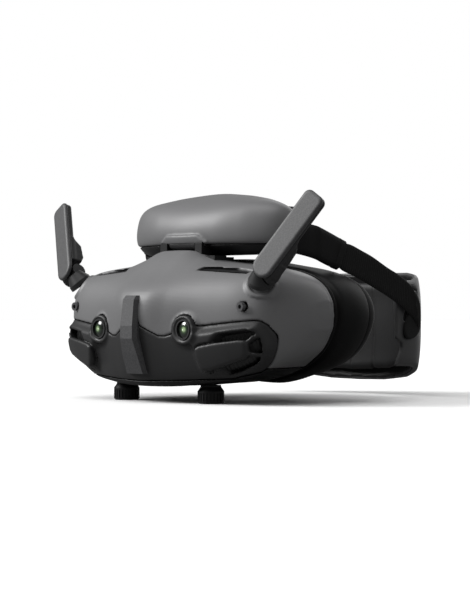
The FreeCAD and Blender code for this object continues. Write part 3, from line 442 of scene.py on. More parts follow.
def slice_field(g, stations, xs_end, rows, back=None, nseg=72):
    """Signed field of a body given by YZ profiles at X stations, interpolated in the sine parameter."""
    sx = np.array([s[0] for s in stations])
    prof = np.array([s[1] for s in stations])
    t = np.arcsin(np.clip(sx / xs_end, -1, 1))
    tt = np.concatenate([-t[1:][::-1], t])
    pp = np.concatenate([prof[1:][::-1], prof])
    F = g.full(50.0)
    Y, Z = np.meshgrid(g.ax[1], g.ax[2], indexing="ij")
    for i, x in enumerate(g.ax[0]):
        if abs(x) >= xs_end:
            continue
        q = pchip(tt, pp, [math.asin(abs(x) / xs_end)])[0]
        c = cubic(q, nseg)
        if back is not None:
            k = (back - c[0, 0])
            c = np.vstack([[c[0, 0] + k, c[0, 1] + (c[0, 1] - c[2, 1]) / max(c[0, 0] - c[2, 0], 0.3) * k * 0.6], c, [c[-1, 0] + k, c[-1, 1]]])
        F[i] = poly_sdf(Y, Z, c)
    for _ in range(2):
        G = F.copy()
        G[1:-1] = (F[:-2] + 2 * F[1:-1] + F[2:]) / 4
        F = G
    gx, gy, gz = np.gradient(F, g.h)
    m = np.sqrt(gx ** 2 + gy ** 2 + gz ** 2)
    return F / np.clip(m, 0.8, 6.0)


# ------------------------------------------------------------------ main shell
H = 0.62
RAW = [
    (0.0, [(56, 73), (38, 74.4), (26, 78), (8, 66), (-4.5, 55), (-6.5, 40), (-3, 20), (3, 9.5), (56, 10)]),
    (9.0, [(56, 73), (38, 74.4), (26, 77.8), (8, 65.6), (-3.5, 55), (-5.0, 40), (-2, 20), (4, 9.5), (56, 10)]),
    (20.0, [(56, 72), (38, 73.2), (25, 74), (11, 66.5), (0.5, 55), (-1.5, 40), (0.5, 20), (6, 9.8), (56, 10.2)]),
    (32.0, [(56, 70.8), (40, 71.3), (24, 70.3), (12, 65.5), (4, 55), (2.2, 40), (3.5, 21), (9, 10.8), (56, 11.3)]),
    (45.0, [(56, 69), (40, 69.8), (24, 68.8), (13.5, 64.5), (7.2, 55), (5.2, 40), (7, 22), (13, 12), (56, 13.6)]),
    (58.0, [(56, 66.8), (40, 68.2), (26, 67.6), (16, 63.5), (10.5, 55), (8.8, 40), (11, 24), (18, 14.5), (56, 17.6)]),
    (68.0, [(56, 63.7), (42, 65.6), (29, 65.2), (19.5, 61), (14.3, 53), (13.2, 40), (15.5, 27), (24, 19), (56, 23.5)]),
    (75.0, [(56, 59.5), (46, 61), (35, 60.5), (26, 57), (21.5, 50), (21, 41), (23.5, 32), (31, 25.5), (56, 29)]),
    (79.5, [(56, 54), (49, 54.8), (43, 54.2), (37, 52), (34, 47.5), (33.5, 42.5), (35.5, 38), (41, 35), (56, 36)]),
    (81.8, [(56, 48.5), (54, 49), (51, 48.8), (48.5, 47.8), (47, 46), (46.8, 44), (47.6, 42), (50, 40.8), (56, 41)]),
    (82.3, [(56, 45.8), (54.6, 45.9), (53.4, 45.8), (52.5, 45.5), (52, 45.1), (51.9, 44.7), (52.3, 44.3), (53.2, 44.1), (56, 44.0)]),
]


def with_floor(pts, x):
    a, b = pts[-2], pts[-1]
    k = max(0.12, 1.0 - x / 40.0)
    run, rise = b[0] - a[0], b[1] - a[1]
    return list(pts[:-1]) + [(a[0] + run * 0.12, a[1] - 0.5 * k + rise * 0.02), (a[0] + run * 0.4, a[1] - 0.8 * k + rise * 0.25), (a[0] + run * 0.72, a[1] - 0.4 * k + rise * 0.62), b]


STN = [(x, with_floor(p, x)) for x, p in RAW]
SEAM = [(0, 41.5), (5.1, 41.5), (5.6, 39.6), (15.9, 34.7), (19.7, 34.6), (24.2, 36.0), (24.7, 39.8), (26.7, 43.2), (29.4, 44.7), (32, 45.1), (35, 44.4), (37.4, 42.2), (38.8, 39.6), (57, 41.6), (68.1, 42.6), (70.5, 42.2), (72.6, 40.4), (74.4, 36.4), (76.0, 31.2), (76.2, 27.6), (74.0, 23.0), (69.5, 19.4), (65.1, 17.4), (52.4, 13.9), (20, 12.4), (0, 12.0)]
SEAM = SEAM + [(-a, b) for a, b in reversed(SEAM) if a > 0.01]
VENT = [(48.6, 32.4), (51.8, 35.9), (59.3, 37.0), (66.6, 37.9), (69.4, 36.9), (71.0, 34.6), (71.8, 30.3), (71.2, 26.6), (68.4, 22.7), (65.4, 20.6), (57.5, 17.2), (51.6, 15.8), (49.8, 18.8)]
PLATE = [(39.0, 22.0), (38.8, 26.5), (39.6, 28.6), (42.0, 29.9), (50.8, 31.5), (63.4, 33.0), (66.3, 32.7), (67.1, 30.9), (66.9, 25.9), (64.8, 23.7), (49.8, 18.8), (44.0, 17.2), (41.0, 18.5)]

g = Grid((-1.6, -13.0, 4.0), (84.0, 58.5, 81.0), H)
body = slice_field(g, STN, 82.35, None, back=64.0)
cut_back = g.Y - 56.0
body = smax(body, cut_back, 0.6)
seam = g.xz(SEAM)
vent = g.xz(VENT)
plate2 = g.xz(PLATE)
zc = np.array([8, 12.4, 15.1, 18.6, 23.0, 27.4, 31.8, 34.7, 40])
xc = np.array([50, 46.3, 41.6, 40.1, 38.8, 38.1, 35.5, 33.0, 32])
crest = np.interp(g.ax[2], zc, xc)[None, None, :]
bul = 3.4 * sstep((g.X - crest + 3.5) / 6.5) * sstep((-seam - 0.4) / 5.0) * sstep((g.Z - 10.0) / 8.0) * sstep((25.0 - g.Y) / 8.0)
fb = body - bul
inner = body + 2.2
zone = smax(seam, g.Y - 23.8, 2.0)

# camera bosses: a flared collar blended into the cover and the shell round each camera
CAMX, CAMZ = 32.0, 37.8
rc = np.sqrt((g.X - CAMX) ** 2 + (g.Z - CAMZ) ** 2)
face_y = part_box("camera_bezel_left")[0][1] * 1000 + BACK
boss = np.maximum(rc - (7.15 + 0.10 * (g.Y - face_y)), face_y + 0.15 - g.Y)
boss = np.maximum(boss, g.Y - 12)
well = smax(rc - np.clip(6.1 - 1.2 * (g.Y - face_y), 4.3, 7.0), -(g.Y + 30), 0.3)

# grey shell
shell = smax(body, -inner, 0.3)
lowcut = 19.0 - g.Z
rim = g.Y - 56.0
D0 = np.array([0.5, 0.335, 0.798]); D0 /= np.linalg.norm(D0)
H0 = np.array([0.43, -0.44, 0.786]); H0 /= np.linalg.norm(H0)
BASE = np.array([69.3, 17.0, 63.4])
rx, ry, rz = g.X - BASE[0], g.Y - BASE[1], g.Z - BASE[2]
along = rx * H0[0] + ry * H0[1] + rz * H0[2]
rad = np.sqrt(np.maximum(rx ** 2 + ry ** 2 + rz ** 2 - along ** 2, 0))
collar = np.sqrt((rad - 6.9) ** 2 + (np.maximum(np.abs(body) - 0.2, 0)) ** 2) - 0.75
shell = smin(shell, np.where(np.abs(along) < 7, collar, 9.0), 1.6)
socket = np.maximum(rad - 6.35, -along - 3.6)
shell = smax(shell, -socket, 0.35)
bossg = np.minimum(shell, 1e3)
shell = smin(shell, np.maximum(boss, -inner), 2.4)
shell = smax(shell, -(zone - 0.16), 0.7)
shell = smax(shell, lowcut + 0.1, 0.4)
sr = np.sqrt((g.X - 62.7) ** 2 + (g.Z - 49.2) ** 2)
shell = smax(shell, -(sr - 2.4), 0.3)
SLOT = [(26.5, 67.2), (28.5, 68.9), (57.1, 67.6), (57.6, 66.4), (57.1, 65.2)]
slot2 = np.maximum(g.xz(SLOT), np.maximum(g.Y - 24, -g.Y))
shell = smax(shell, -slot2, 0.6)
# small relief line that runs round the rear rim
shell = smax(shell, -(np.maximum(np.abs(g.Y - 54.1) - 0.16, -(body + 0.35))), 0.2)
keys = shell
for ky, kz, kq in ((44.5, 46.0, 3.15), (41.0, 39.4, 2.55), (40.0, 52.0, 2.55)):
    hole = np.maximum(np.sqrt((g.Y - ky) ** 2 + (g.Z - kz) ** 2) - kq, 68.0 - g.X)
    keys = smax(keys, -hole, 0.4)
V, Q = two_halves(g, shell, keys)
upper = add_mesh("shell_upper", V, Q, MATS["shell_grey"], "main_unit", "shell_grey")
weld(upper, 0.00002)
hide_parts("upper_shell")

# small round key holes on the wearer's right side are closed flush by the keys themselves

# lower tray
low = smax(body, -inner, 0.3)
low = smax(low, g.Z - 18.85, 0.3)
low = smax(low, -(zone - 0.16), 0.5)
kr = np.sqrt(np.maximum(np.abs(g.X - 31.9) - 4.4, 0) ** 2 + (g.Y - 18.9) ** 2)
low = smax(low, -(kr - 5.5), 0.4)
V, Q = g.mesh(low)
V, Q = mirror_join(np.clip(V, [0, -99, -99], None), Q[V[Q].mean(1)[:, 0] > 0.0])
tray = add_mesh("shell_lower", V, Q, MATS["black_plastic"], "main_unit", "black_plastic")
weld(tray, 0.00002)
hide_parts("lower_shell")

# front cover with vent frames, floating plates and struts
thick = 2.2 + 5.0 * sstep(1.0 - (vent - 0.3) / 3.0)
cov = smax(fb, -(fb + thick), 0.4)
cov = smin(cov, np.maximum(boss, -(body + 3.0)), 3.2)
cov = smax(cov, -(vent + 0.30 * np.clip(-(fb + 1.0), -1.0, 4.0)), 1.6)
# shallow step round the plate's left end, so that it reads as a separate pad
groove = np.maximum(np.abs(plate2 - 0.45) - 0.42, -(fb + 1.1))
cov = smax(cov, -np.where(g.X > 37.0, groove, 9.0), 0.5)
plate = smax(smax(plate2, fb - 1.15, 1.3), -(fb + 1.8), 0.4)
cov = np.minimum(cov, plate)


def bar2(ax, az, bx, bz, r):
    X, Z = np.meshgrid(g.ax[0], g.ax[2], indexing="ij")
    ex, ez = bx - ax, bz - az
    t = np.clip(((X - ax) * ex + (Z - az) * ez) / (ex * ex + ez * ez), 0, 1)
    return (np.sqrt((X - ax - t * ex) ** 2 + (Z - az - t * ez) ** 2) - r)[:, None, :]


for seg in ((66.0, 31.6, 72.2, 36.6, 0.75), (66.6, 26.4, 73.6, 25.0, 0.75)):
    st = smax(np.maximum(bar2(*seg), fb + 0.5), -(fb + 4.2), 0.4)
    cov = smin(cov, st, 0.5)
cov = smax(cov, zone + 0.16, 0.7)
cov = smax(cov, -well, 0.4)
cov = smax(cov, -(np.maximum(kr - 5.5, g.Z - 22)), 0.4)
cov = smax(cov, 0.3 - (g.X + 0.0) * 0 - 99, 0.3)
V, Q = g.mesh(cov)
V, Q = mirror_join(np.clip(V, [0, -99, -99], None), Q[V[Q].mean(1)[:, 0] > 0.0])
cover = add_mesh("front_cover_shell", V, Q, MATS["cover_dark"], "main_unit", "cover_dark")
weld(cover, 0.00002)
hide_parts("front_cover", "vent_plate_left", "vent_plate_right")

# ribbed grille floors inside the vents
rib = 0.40 * (np.sin((g.X + 0.15 * g.Z) * 2 * np.pi / 2.1)) * sstep((np.abs(g.Z - 28.5) - 1.0))
grl = np.maximum(np.maximum(fb + 4.9 + rib, -(fb + 6.8)), vent - 1.0)
grl = np.maximum(grl, g.Y - 29.0)
V, Q = g.mesh(grl)
for s, nm in ((1, "left"), (-1, "right")):
    W = V.copy()
    W[:, 0] *= s
    o = add_mesh("vent_floor_" + nm, W, Q if s > 0 else Q[:, ::-1], GRILLE_MAT, "main_unit", "black_plastic", smooth=False)
    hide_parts("vent_grille_" + nm)

# ------------------------------------------------------------------ forehead housing
FORE = [
    (0.0, [(66, 75.8), (50, 75.6), (37, 75.7), (32.6, 78.0), (29.0, 82.6), (28.6, 85.5), (30, 93), (36, 101), (48, 106), (60, 107.8), (66, 105.5)]),
    (20.0, [(65, 75.8), (50, 75.6), (38.2, 75.7), (34.0, 78.0), (30.5, 82.6), (30.1, 85.5), (31.3, 93), (36.8, 101), (47, 105.3), (58, 106.4), (65, 103.6)]),
    (35.0, [(64, 75.9), (51, 75.7), (41, 75.9), (37.4, 78.2), (34.2, 82.8), (33.8, 85.7), (34.8, 93), (39, 100.4), (47, 103.8), (58, 104), (64, 101.0)]),
    (45.0, [(63, 76.4), (52, 76.2), (45, 76.5), (41.6, 78.6), (38.7, 83.0), (38.3, 85.8), (39.2, 92.5), (42.6, 99.2), (49, 102.2), (57, 101.4), (63, 98)]),
    (51.5, [(62, 77.8), (54, 77.6), (48.8, 77.9), (45.9, 79.8), (43.5, 83.5), (43.2, 86.0), (43.9, 91.8), (46.6, 97.4), (51, 99.5), (57, 98.2), (62, 94.6)]),
    (55.0, [(61, 80.7), (55.5, 80.5), (52.4, 80.8), (50.4, 82.3), (48.8, 85), (48.6, 87), (49.1, 90.6), (51.0, 94), (54.2, 95), (58, 93.4), (61, 91)]),
    (56.2, [(59, 85.2), (56.6, 85.1), (55.2, 85.2), (54.3, 85.6), (53.8, 86.6), (53.8, 87.6), (54.2, 88.8), (55, 89.6), (56.2, 89.8), (57.8, 89.4), (59, 88.6)]),
]
gf = Grid((-1.6, 24.0, 73.0), (58.5, 69.0, 110.0), H)
fo = slice_field(gf, FORE, 56.3, None, back=None)
fo_in = fo + 2.0
house = smax(fo, -fo_in, 0.3)
SPLIT = 80.9
housing = smax(house, SPLIT + 0.1 - gf.Z, 0.9)
notch = np.maximum(np.maximum(np.abs(gf.X) - 16.2, gf.Y - 37.0), gf.Z - 81.2)
# raised trapezoid over the hinge
TRAP = [(-17.4, 78), (-17.2, 82.0), (-11.6, 85.9), (11.6, 85.9), (17.2, 82.0), (17.4, 78)]
trap = np.maximum(gf.xz(TRAP), gf.Y - 44)
raised = smax(fo - 1.5, trap, 1.2)
housing = smin(housing, smax(np.maximum(raised, -fo_in), SPLIT + 0.1 - gf.Z, 0.3), 0.5)
housing = smax(housing, -notch, 0.5)
keyhole = np.sqrt((gf.X - 24) ** 2 + (gf.Y - 55) ** 2) - 3.5
keyhole = np.maximum(keyhole, 96.0 - gf.Z)
V, Q = two_halves(gf, housing, smax(housing, -keyhole, 0.4))
hs = add_mesh("forehead_shell", V, Q, MATS["shell_grey"], "forehead_unit", "shell_grey")
weld(hs, 0.00002)
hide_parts("forehead_housing")


# black under-part below the split; it also covers the housing's lower chamfer, which is grey plastic in shade, so it is
# partly the real black part and partly painted shade
tr = smax(smax(fo + 0.25, -(fo + 2.4), 0.3), gf.Z - (SPLIT - 0.1), 0.4)
tr = smax(tr, -np.maximum(np.maximum(np.abs(gf.X) - 10.4, gf.Y - 37.0), 70.0 - gf.Z), 0.4)
V, Q = gf.mesh(tr)
V, Q = mirror_join(np.clip(V, [0, -99, -99], None), Q[V[Q].mean(1)[:, 0] > 0.0])
trm = add_mesh("forehead_black_underside_and_painted_shade", V, Q, MATS["black_plastic"], "forehead_unit", "black_plastic")
weld(trm, 0.00002)
BX = np.abs(gf.X) - 10.0
hb = smax(BX, np.sqrt((gf.Y - 31.0) ** 2 + (gf.Z - 81.0) ** 2) - 2.6, 0.5)
hb2 = smax(BX, np.maximum(np.maximum(31.2 - gf.Y, gf.Y - 37.4), np.maximum(79.0 - gf.Z, gf.Z - 83.5)), 0.4)
hb = smin(hb, hb2, 0.8)
V, Q = gf.mesh(hb)
V, Q = mirror_join(np.clip(V, [0, -99, -99], None), Q[V[Q].mean(1)[:, 0] > 0.0])
hbm = add_mesh("hinge_block", V, Q, MATS["cover_dark"], "forehead_unit", "cover_dark")
weld(hbm, 0.00002)
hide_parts("forehead_tray")

# ------------------------------------------------------------------ lofts (mask, foam, cushions)
def ring_outline(kx, kz, zc=41.0, dz=0.0):
    base = [(0, 73.2), (22, 72.2), (43.9, 69.3), (60.4, 66.5), (71, 62.3), (78.4, 55.8), (81.7, 45.3), (79.4, 36.2), (72.1, 26.2), (57.3, 17.5), (42.1, 13.3), (22, 10.4)]
    return [(x * kx, zc + (z - zc) * kz + dz) for x, z in base]


def rim(pts, nose, n=220):
    half = list(pts)
    if nose > 0:
        half = half[:-1] + [(24.0, half[-1][1] + 0.6), (15.5, 10.5 + nose * 0.35), (9.0, 10.5 + nose * 0.8), (0, 10.5 + nose)]
    else:
        half = half + [(0, 9.6)]
    full = half + [(-a, b) for a, b in reversed(half) if a > 0.01]
    return cubic(full, n, closed=True)


def ring_mesh(rows, n=220, close=True):
    """rows: (y, kx, kz, nose) round the tube's section, as a closed loop of rings."""
    rings = []
    for y, kx, kz, nose in rows:
        c = rim(ring_outline(kx, kz), nose, n)
        rings.append(np.column_stack([c[:, 0], np.full(n, y) if np.isscalar(y) else y, c[:, 1]]))
    V = np.vstack(rings)
    m = len(rings)
    Q = []
    for i in range(m):
        j = (i + 1) % m
        for k in range(n):
            l = (k + 1) % n
            Q.append((i * n + k, i * n + l, j * n + l, j * n + k))
    return V, np.array(Q)


def dense(rows, per=4):
    a = np.array(rows, float)
    out = []
    for i in range(len(a) - 1):
        for t in np.arange(per) / per:
            out.append(tuple(a[i] * (1 - t) + a[i + 1] * t))
    out.append(tuple(a[-1]))
    return out


outer_rows = [(56.2, 0.978, 0.975, 0.0), (56.6, 0.992, 0.992, 0.0), (57.6, 1.000, 1.003, 0.6), (58.5, 0.996, 0.998, 1.6), (59.1, 0.980, 0.980, 2.0), (59.8, 0.976, 0.976, 2.6), (60.5, 0.994, 0.998, 3.2), (61.5, 1.010, 1.018, 4.0), (63.5, 1.014, 1.022, 5.5), (67.0, 1.018, 1.027, 9.0), (72.0, 1.020, 1.030, 12.0), (77.0, 1.012, 1.014, 15.0), (80.5, 1.003, 0.996, 17.2), (82.0, 0.996, 0.984, 18.0)]
inner_rows = [(82.2, 0.972, 0.935, 20.0), (78.0, 0.98, 0.95, 17.6), (72.0, 0.99, 0.97, 14.5), (62.0, 0.968, 0.95, 6.5), (56.4, 0.955, 0.94, 2.2)]
V, Q = ring_mesh(outer_rows + inner_rows)
mask = add_mesh("mask_bellows", V, Q, MATS["mask_rubber"], "main_unit", "mask_rubber")
fix_normals(mask)
sub = mask.modifiers.new("sub", "SUBSURF")
sub.levels = sub.render_levels = 1
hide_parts("face_mask")

foam_rows = [(82.3, 0.965, 0.925, 19.0), (82.5, 0.990, 0.950, 18.6), (83.6, 0.998, 0.958, 18.4), (85.2, 0.996, 0.948, 19.0), (86.8, 0.984, 0.915, 20.0), (87.6, 0.955, 0.865, 21.6), (87.3, 0.92, 0.81, 23.2), (86.0, 0.885, 0.75, 25.2), (84.0, 0.875, 0.728, 25.6), (82.5, 0.885, 0.745, 24.8), (82.2, 0.92, 0.82, 22.5)]
V, Q = ring_mesh(foam_rows)
r = np.random.default_rng(4)
ang = np.arctan2(V[:, 2] - 41, V[:, 0])
V[:, 1] += 0.10 * np.sin(ang * 23) * (V[:, 1] > 84)
foam = add_mesh("face_foam_ring", V, Q, MATS["foam"], "main_unit", "foam")
fix_normals(foam)
sub = foam.modifiers.new("sub", "SUBSURF")
sub.levels = sub.render_levels = 1
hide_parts("face_foam")


# ------------------------------------------------------------------ antennas
LONG, WIDE = 49.0, 12.5
W0 = np.array([0.84, 0.0359, -0.5414])
W0 = W0 - D0 * W0.dot(D0)
W0 /= np.linalg.norm(W0)
N0 = np.cross(D0, W0)
if N0[1] > 0:
    N0 = -N0
TIP = np.array([97.1, 26.3, 103.6])
BOT = TIP - D0 * LONG
FOLDP = BOT + D0 * 3.8 - W0 * 2.4 - N0 * 6.5
ga = Grid((-7.4, -1.2, -13.0), (7.4, 50.4, 1.2), 0.42)
U, Vv, Nn = ga.X, ga.Y, ga.Z
hw = WIDE / 2


def paddle(shrink):
    r_top, r_bot = 3.4, hw - 0.4
    out = []
    for r_, cy, sgn in ((r_top, LONG - r_top, 1), (r_bot, r_bot, -1)):
        dx = np.abs(U) - (hw - r_)
        dy = sgn * (Vv - cy)
        q = np.sqrt(np.maximum(dx, 0) ** 2 + np.maximum(dy, 0) ** 2) + np.minimum(np.maximum(dx, dy), 0) - r_
        out.append(q)
    return np.maximum(out[0], out[1]) + shrink


p2 = paddle(0.0)
skin = smax(smax(p2, Nn - 0.0, 1.5), -Nn - 2.05, 0.3)
back = smax(smax(smax(p2 + 0.35, Nn + 2.3, 0.3), -Nn - 4.7, 0.9), 9.6 - Vv, 0.6)
VV, NN = np.meshgrid(ga.ax[1], ga.ax[2], indexing="ij")
kn = poly_sdf(VV, NN, [(9.6, -2.6), (25.0, -2.6), (25.0, -4.2), (20.5, -9.0), (13.0, -9.9), (9.6, -8.4)])[None]
kn = smax(kn, np.abs(U) - (hw - 0.35), 0.8)
back = smin(back, kn, 1.0)
du, dv, dn = (U - np.dot(FOLDP - BOT, W0)), (Vv - np.dot(FOLDP - BOT, D0)), (Nn - np.dot(FOLDP - BOT, N0))
disc = np.sqrt(dv ** 2 + dn ** 2)
ear = smax(disc - 3.9, np.maximum(3.6 - du, du - 8.4), 0.5)
web = smax(np.maximum(np.maximum(U - 6.1, 1.4 - U), np.maximum(3.6 - Vv, Vv - 11.0)), np.maximum(Nn + 2.5, -9.4 - Nn), 0.5)
back = smin(back, web, 0.8)
back = smax(back, -np.maximum(disc - 4.35, np.maximum(-12 - du, du - 3.4)), 0.4)
back = smin(back, ear, 0.6)
for fld, nm, mat, slot in ((skin, "cover", "antenna_grey", "antenna_grey"), (back, "body", "cover_dark", "cover_dark")):
    Va, Qa = ga.mesh(fld)
    Pw = BOT + Va[:, :1] * W0 + Va[:, 1:2] * D0 + Va[:, 2:3] * N0
    if np.dot(np.cross(W0, D0), N0) < 0:
        Qa = Qa[:, ::-1]
    for s, side in ((1, "left"), (-1, "right")):
        Pm = Pw * np.array([s, 1, 1])
        o = add_mesh("antenna_%s_%s_skin" % (nm, side), Pm, Qa if s > 0 else Qa[:, ::-1], MATS[mat], "antenna_arm_" + side, slot)
        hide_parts("antenna_%s_%s" % (nm, side))


# ------------------------------------------------------------------ strap, sleeves, tongue
def band(name, top, bot, x_mid, thick, n, m, mat, body, slot, side, ribs=0.0, sag=0.0, ends=0.8):
    """A flat textile band between two edge curves in the YZ plane, thin along X, with rounded edges."""
    a, b = cubic(top, n), cubic(bot, n)
    p = (1 - np.cos(np.linspace(0, np.pi, m))) / 2
    seg = np.r_[0, np.cumsum(np.linalg.norm(np.diff((a + b) / 2, axis=0), axis=1))]
    L = seg[-1]
    out = []
    for sgn, order in ((1, p), (-1, p[::-1][1:-1])):
        for q in order:
            c = a * (1 - q) + b * q
            w = 15.0
            edge = np.sqrt(np.clip(1 - abs(2 * q - 1) ** 6, 0, 1))
            tip = np.sqrt(np.clip(1 - (1 - np.clip(np.minimum(seg, L - seg) / ends, 0, 1)) ** 2, 0.0, 1))
            dx = thick / 2 * edge * tip
            if ribs and 0.03 < q < 0.97:
                dx = dx + ribs * np.sin(2 * np.pi * (seg / 1.5 + q * w * 0.20)) * tip
            dx = sgn * dx + sag * np.sin(np.pi * np.clip(seg / L, 0, 1)) * (1 - (2 * q - 1) ** 2)
            xm = x_mid(c[:, 0]) if callable(x_mid) else x_mid
            out.append(np.column_stack([xm + dx, c[:, 0], c[:, 1]]))
    k = len(out)
    P = np.stack(out, 1).reshape(-1, 3)
    i, j = np.meshgrid(np.arange(n - 1), np.arange(k), indexing="ij")
    i, j = i.ravel(), j.ravel()
    j2 = (j + 1) % k
    Q = np.stack([i * k + j, i * k + j2, (i + 1) * k + j2, (i + 1) * k + j], 1)
    if side < 0:
        P = P * np.array([-1, 1, 1])
        Q = Q[:, ::-1]
    o = add_mesh(name, P, Q, mat, body, slot)
    bm = bmesh.new()
    bm.from_mesh(o.data)
    bmesh.ops.remove_doubles(bm, verts=bm.verts, dist=0.00002)
    bmesh.ops.recalc_face_normals(bm, faces=bm.faces)
    bmesh.ops.holes_fill(bm, edges=bm.edges, sides=200)
    bm.to_mesh(o.data)
    bm.free()
    wd = float(np.linalg.norm(a - b, axis=1).mean())
    return o, wd * 0.001, float(L) * 0.001


def wrap_in(y):
    return 63.5 - 10.5 * sstep((63.5 - y) / 13.0)


S_TOP = [(63, 86.6), (72, 84.0), (80, 81.6), (84.5, 81.2), (94.2, 78.2), (100.7, 75.9), (108.3, 72.5), (116.1, 68.9), (122.8, 66.2), (128.4, 63.3), (133.6, 59.8), (136.0, 56.6)]
S_BOT = [(63, 75.0), (70, 72.2), (76, 70.4), (79, 68.3), (85.6, 65.8), (94.2, 62.8), (105.0, 58.5), (113.9, 54.8), (121.7, 51.1), (127.3, 48.1), (134.1, 43.4), (139.4, 37.8)]
gt = Grid((60.9, 126.0, 29.0), (65.2, 145.0, 61.5), 0.5)
TON = [(134.4, 58.6), (138.1, 56.4), (140.8, 52.4), (141.9, 47.0), (142.0, 41.0), (141.2, 37.0), (138.7, 33.8), (134.1, 32.0), (130.4, 32.2), (129.0, 35.0), (129.6, 40.0), (133.0, 48.1), (134.1, 54.1)]
TY, TZ = np.meshgrid(gt.ax[1], gt.ax[2], indexing="ij")
ton = poly_sdf(TY, TZ, cubic(TON, 60, closed=True))[None]
ton = smax(ton, np.abs(gt.X - 62.9) - 1.0, 1.1)
Vt, Qt = gt.mesh(ton)
for s, side in ((1, "left"), (-1, "right")):
    o, wd, L = band("strap_web_" + side, S_TOP, S_BOT, 63.9, 1.6, 460, 22, MATS["strap_web"], "rear_band", "strap_web", s, ribs=0.20)
    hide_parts("strap_" + side)
    Vm = Vt * np.array([s, 1, 1])
    t = add_mesh("strap_fold_" + side, Vm, Qt if s > 0 else Qt[:, ::-1], MATS["strap_web"], "rear_band", "strap_web")
    sl, wd, L = band("sleeve_" + side, [(51.0, 92.4), (57.5, 91.2), (64, 89.2), (72, 86.4), (82.6, 82.4)], [(50.5, 77.2), (57.0, 75.0), (63, 72.4), (70, 69.9), (76.2, 68.0)], wrap_in, 4.2, 120, 22, SLEEVE_MAT, "forehead_unit", "black_plastic", s, ends=0.5)
    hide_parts("strap_sleeve_" + side)
    # doubled end of the sleeve
    e1, _, _ = band("sleeve_end_" + side, [(78.6, 84.1), (80.5, 83.3), (82.9, 82.5)], [(72.6, 68.9), (74.4, 68.4), (76.5, 67.8)], 63.5, 4.9, 26, 22, SLEEVE_MAT, "forehead_unit", "black_plastic", s, ends=0.4)

# ------------------------------------------------------------------ rear cradle
gc = Grid((-1.6, 122.0, 6.0), (64.0, 170.5, 71.0), 0.75)
plan = [(60.0, 118), (60.0, 138), (59.0, 143), (55.8, 148.5), (47.1, 156.2), (29.6, 163.4), (13.8, 165.8), (0, 166.4), (-13.8, 165.8)]
pl = cubic(plan, 60)
PX, PY = np.meshgrid(gc.ax[0], gc.ax[1], indexing="ij")
best = np.full(PX.shape, 1e9)
sign = np.ones(PX.shape)
for (ax_, ay_), (bx_, by_) in zip(pl[:-1], pl[1:]):
    ex, ey = bx_ - ax_, by_ - ay_
    t = np.clip(((PX - ax_) * ex + (PY - ay_) * ey) / (ex * ex + ey * ey), 0, 1)
    dx, dy = PX - ax_ - t * ex, PY - ay_ - t * ey
    dd = np.sqrt(dx * dx + dy * dy)
    cr_ = ex * dy - ey * dx
    m_ = dd < best
    best = np.where(m_, dd, best)
    sign = np.where(m_, np.sign(cr_), sign)
# positive on the inner side; the band leans in a little towards its top and bottom
plan_d = (best * sign)[:, :, None] - 3.2 * np.clip((42.0 - gc.Z) / 32.0, 0, 1.2) ** 3 - 2.4 * np.clip((gc.Z - 42.0) / 26.0, 0, 1.1) ** 3
OUTL = [(64, 36), (64, 54), (61.5, 60.5), (56, 64.6), (50, 66.3), (40, 67.5), (0, 67.8), (-3, 67.8), (-3, 8.6), (0, 8.6), (20, 9.0), (40, 11.0), (52, 14.5), (60, 18.5), (64, 26)]
XX, ZZ = np.meshgrid(gc.ax[0], gc.ax[2], indexing="ij")
outl = poly_sdf(XX, ZZ, OUTL)[:, None, :]
ENDS = [(124.2, 56), (125.2, 62), (127.6, 66.6), (134, 69.2), (175, 69.2), (175, 6.0), (122, 6.0), (128.0, 23.4), (129.6, 27.6), (129.2, 30.1), (125.1, 32.4), (125.2, 40.6)]
YY, ZZ2 = np.meshgrid(gc.ax[1], gc.ax[2], indexing="ij")
ends_ = poly_sdf(YY, ZZ2, ENDS)[None]
edge = np.maximum(outl, ends_)
cr = smax(np.abs(plan_d) - 1.45, edge, 1.1)
slot_y = np.maximum(np.abs((gc.Y - 136.0) * 0.925 - (gc.Z - 50.0) * 0.38) - 3.0, np.abs((gc.Y - 136.0) * 0.38 + (gc.Z - 50.0) * 0.925) - 9.6)
cr = smax(cr, -np.maximum(slot_y, 50.0 - gc.X), 0.6)
V, Q = gc.mesh(cr)
V, Q = mirror_join(np.clip(V, [0, -99, -99], None), Q[V[Q].max(1)[:, 0] > 0.0001])
# cradle band in the darker copy of the shell grey (painted shade); its slot stays shell_grey
crad = add_mesh("cradle_band", V, Q, CRADLE_PAINTED_SHADE_GREY, "rear_band", "shell_grey")
weld(crad, 0.00002)
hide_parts("cradle_shell")
liner = smax(np.abs(plan_d - 1.75) - 0.55, edge + 1.1, 0.6)
liner = smax(liner, -np.maximum(slot_y - 1.0, 50.0 - gc.X), 0.4)
V, Q = gc.mesh(liner)
V, Q = mirror_join(np.clip(V, [0, -99, -99], None), Q[V[Q].max(1)[:, 0] > 0.0001])
lin = add_mesh("cradle_liner", V, Q, MATS["black_plastic"], "rear_band", "black_plastic")
weld(lin, 0.00002)
PADZ = [(50, 36), (49, 52), (44, 59), (30, 62.0), (0, 62.6), (-3, 62.6), (-3, 14), (0, 14.0), (30, 15.4), (44, 19), (49, 26)]
pz = poly_sdf(XX, ZZ, PADZ)[:, None, :]
cpad = smax(np.abs(plan_d - 6.6) - 2.7, pz, 4.5)
crease = 0.5 * np.exp(-((np.abs(gc.X) - 17.0) / 0.9) ** 2) + 0.4 * np.exp(-((plan_d - 5.4) / 0.5) ** 2)
cpad = cpad + crease
V, Q = gc.mesh(cpad)
V, Q = mirror_join(np.clip(V, [0, -99, -99], None), Q[V[Q].max(1)[:, 0] > 0.0001])
pad = add_mesh("cradle_cushion", V, Q, MATS["pad_leather"], "rear_band", "pad_leather")
weld(pad, 0.00002)
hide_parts("cradle_pad")

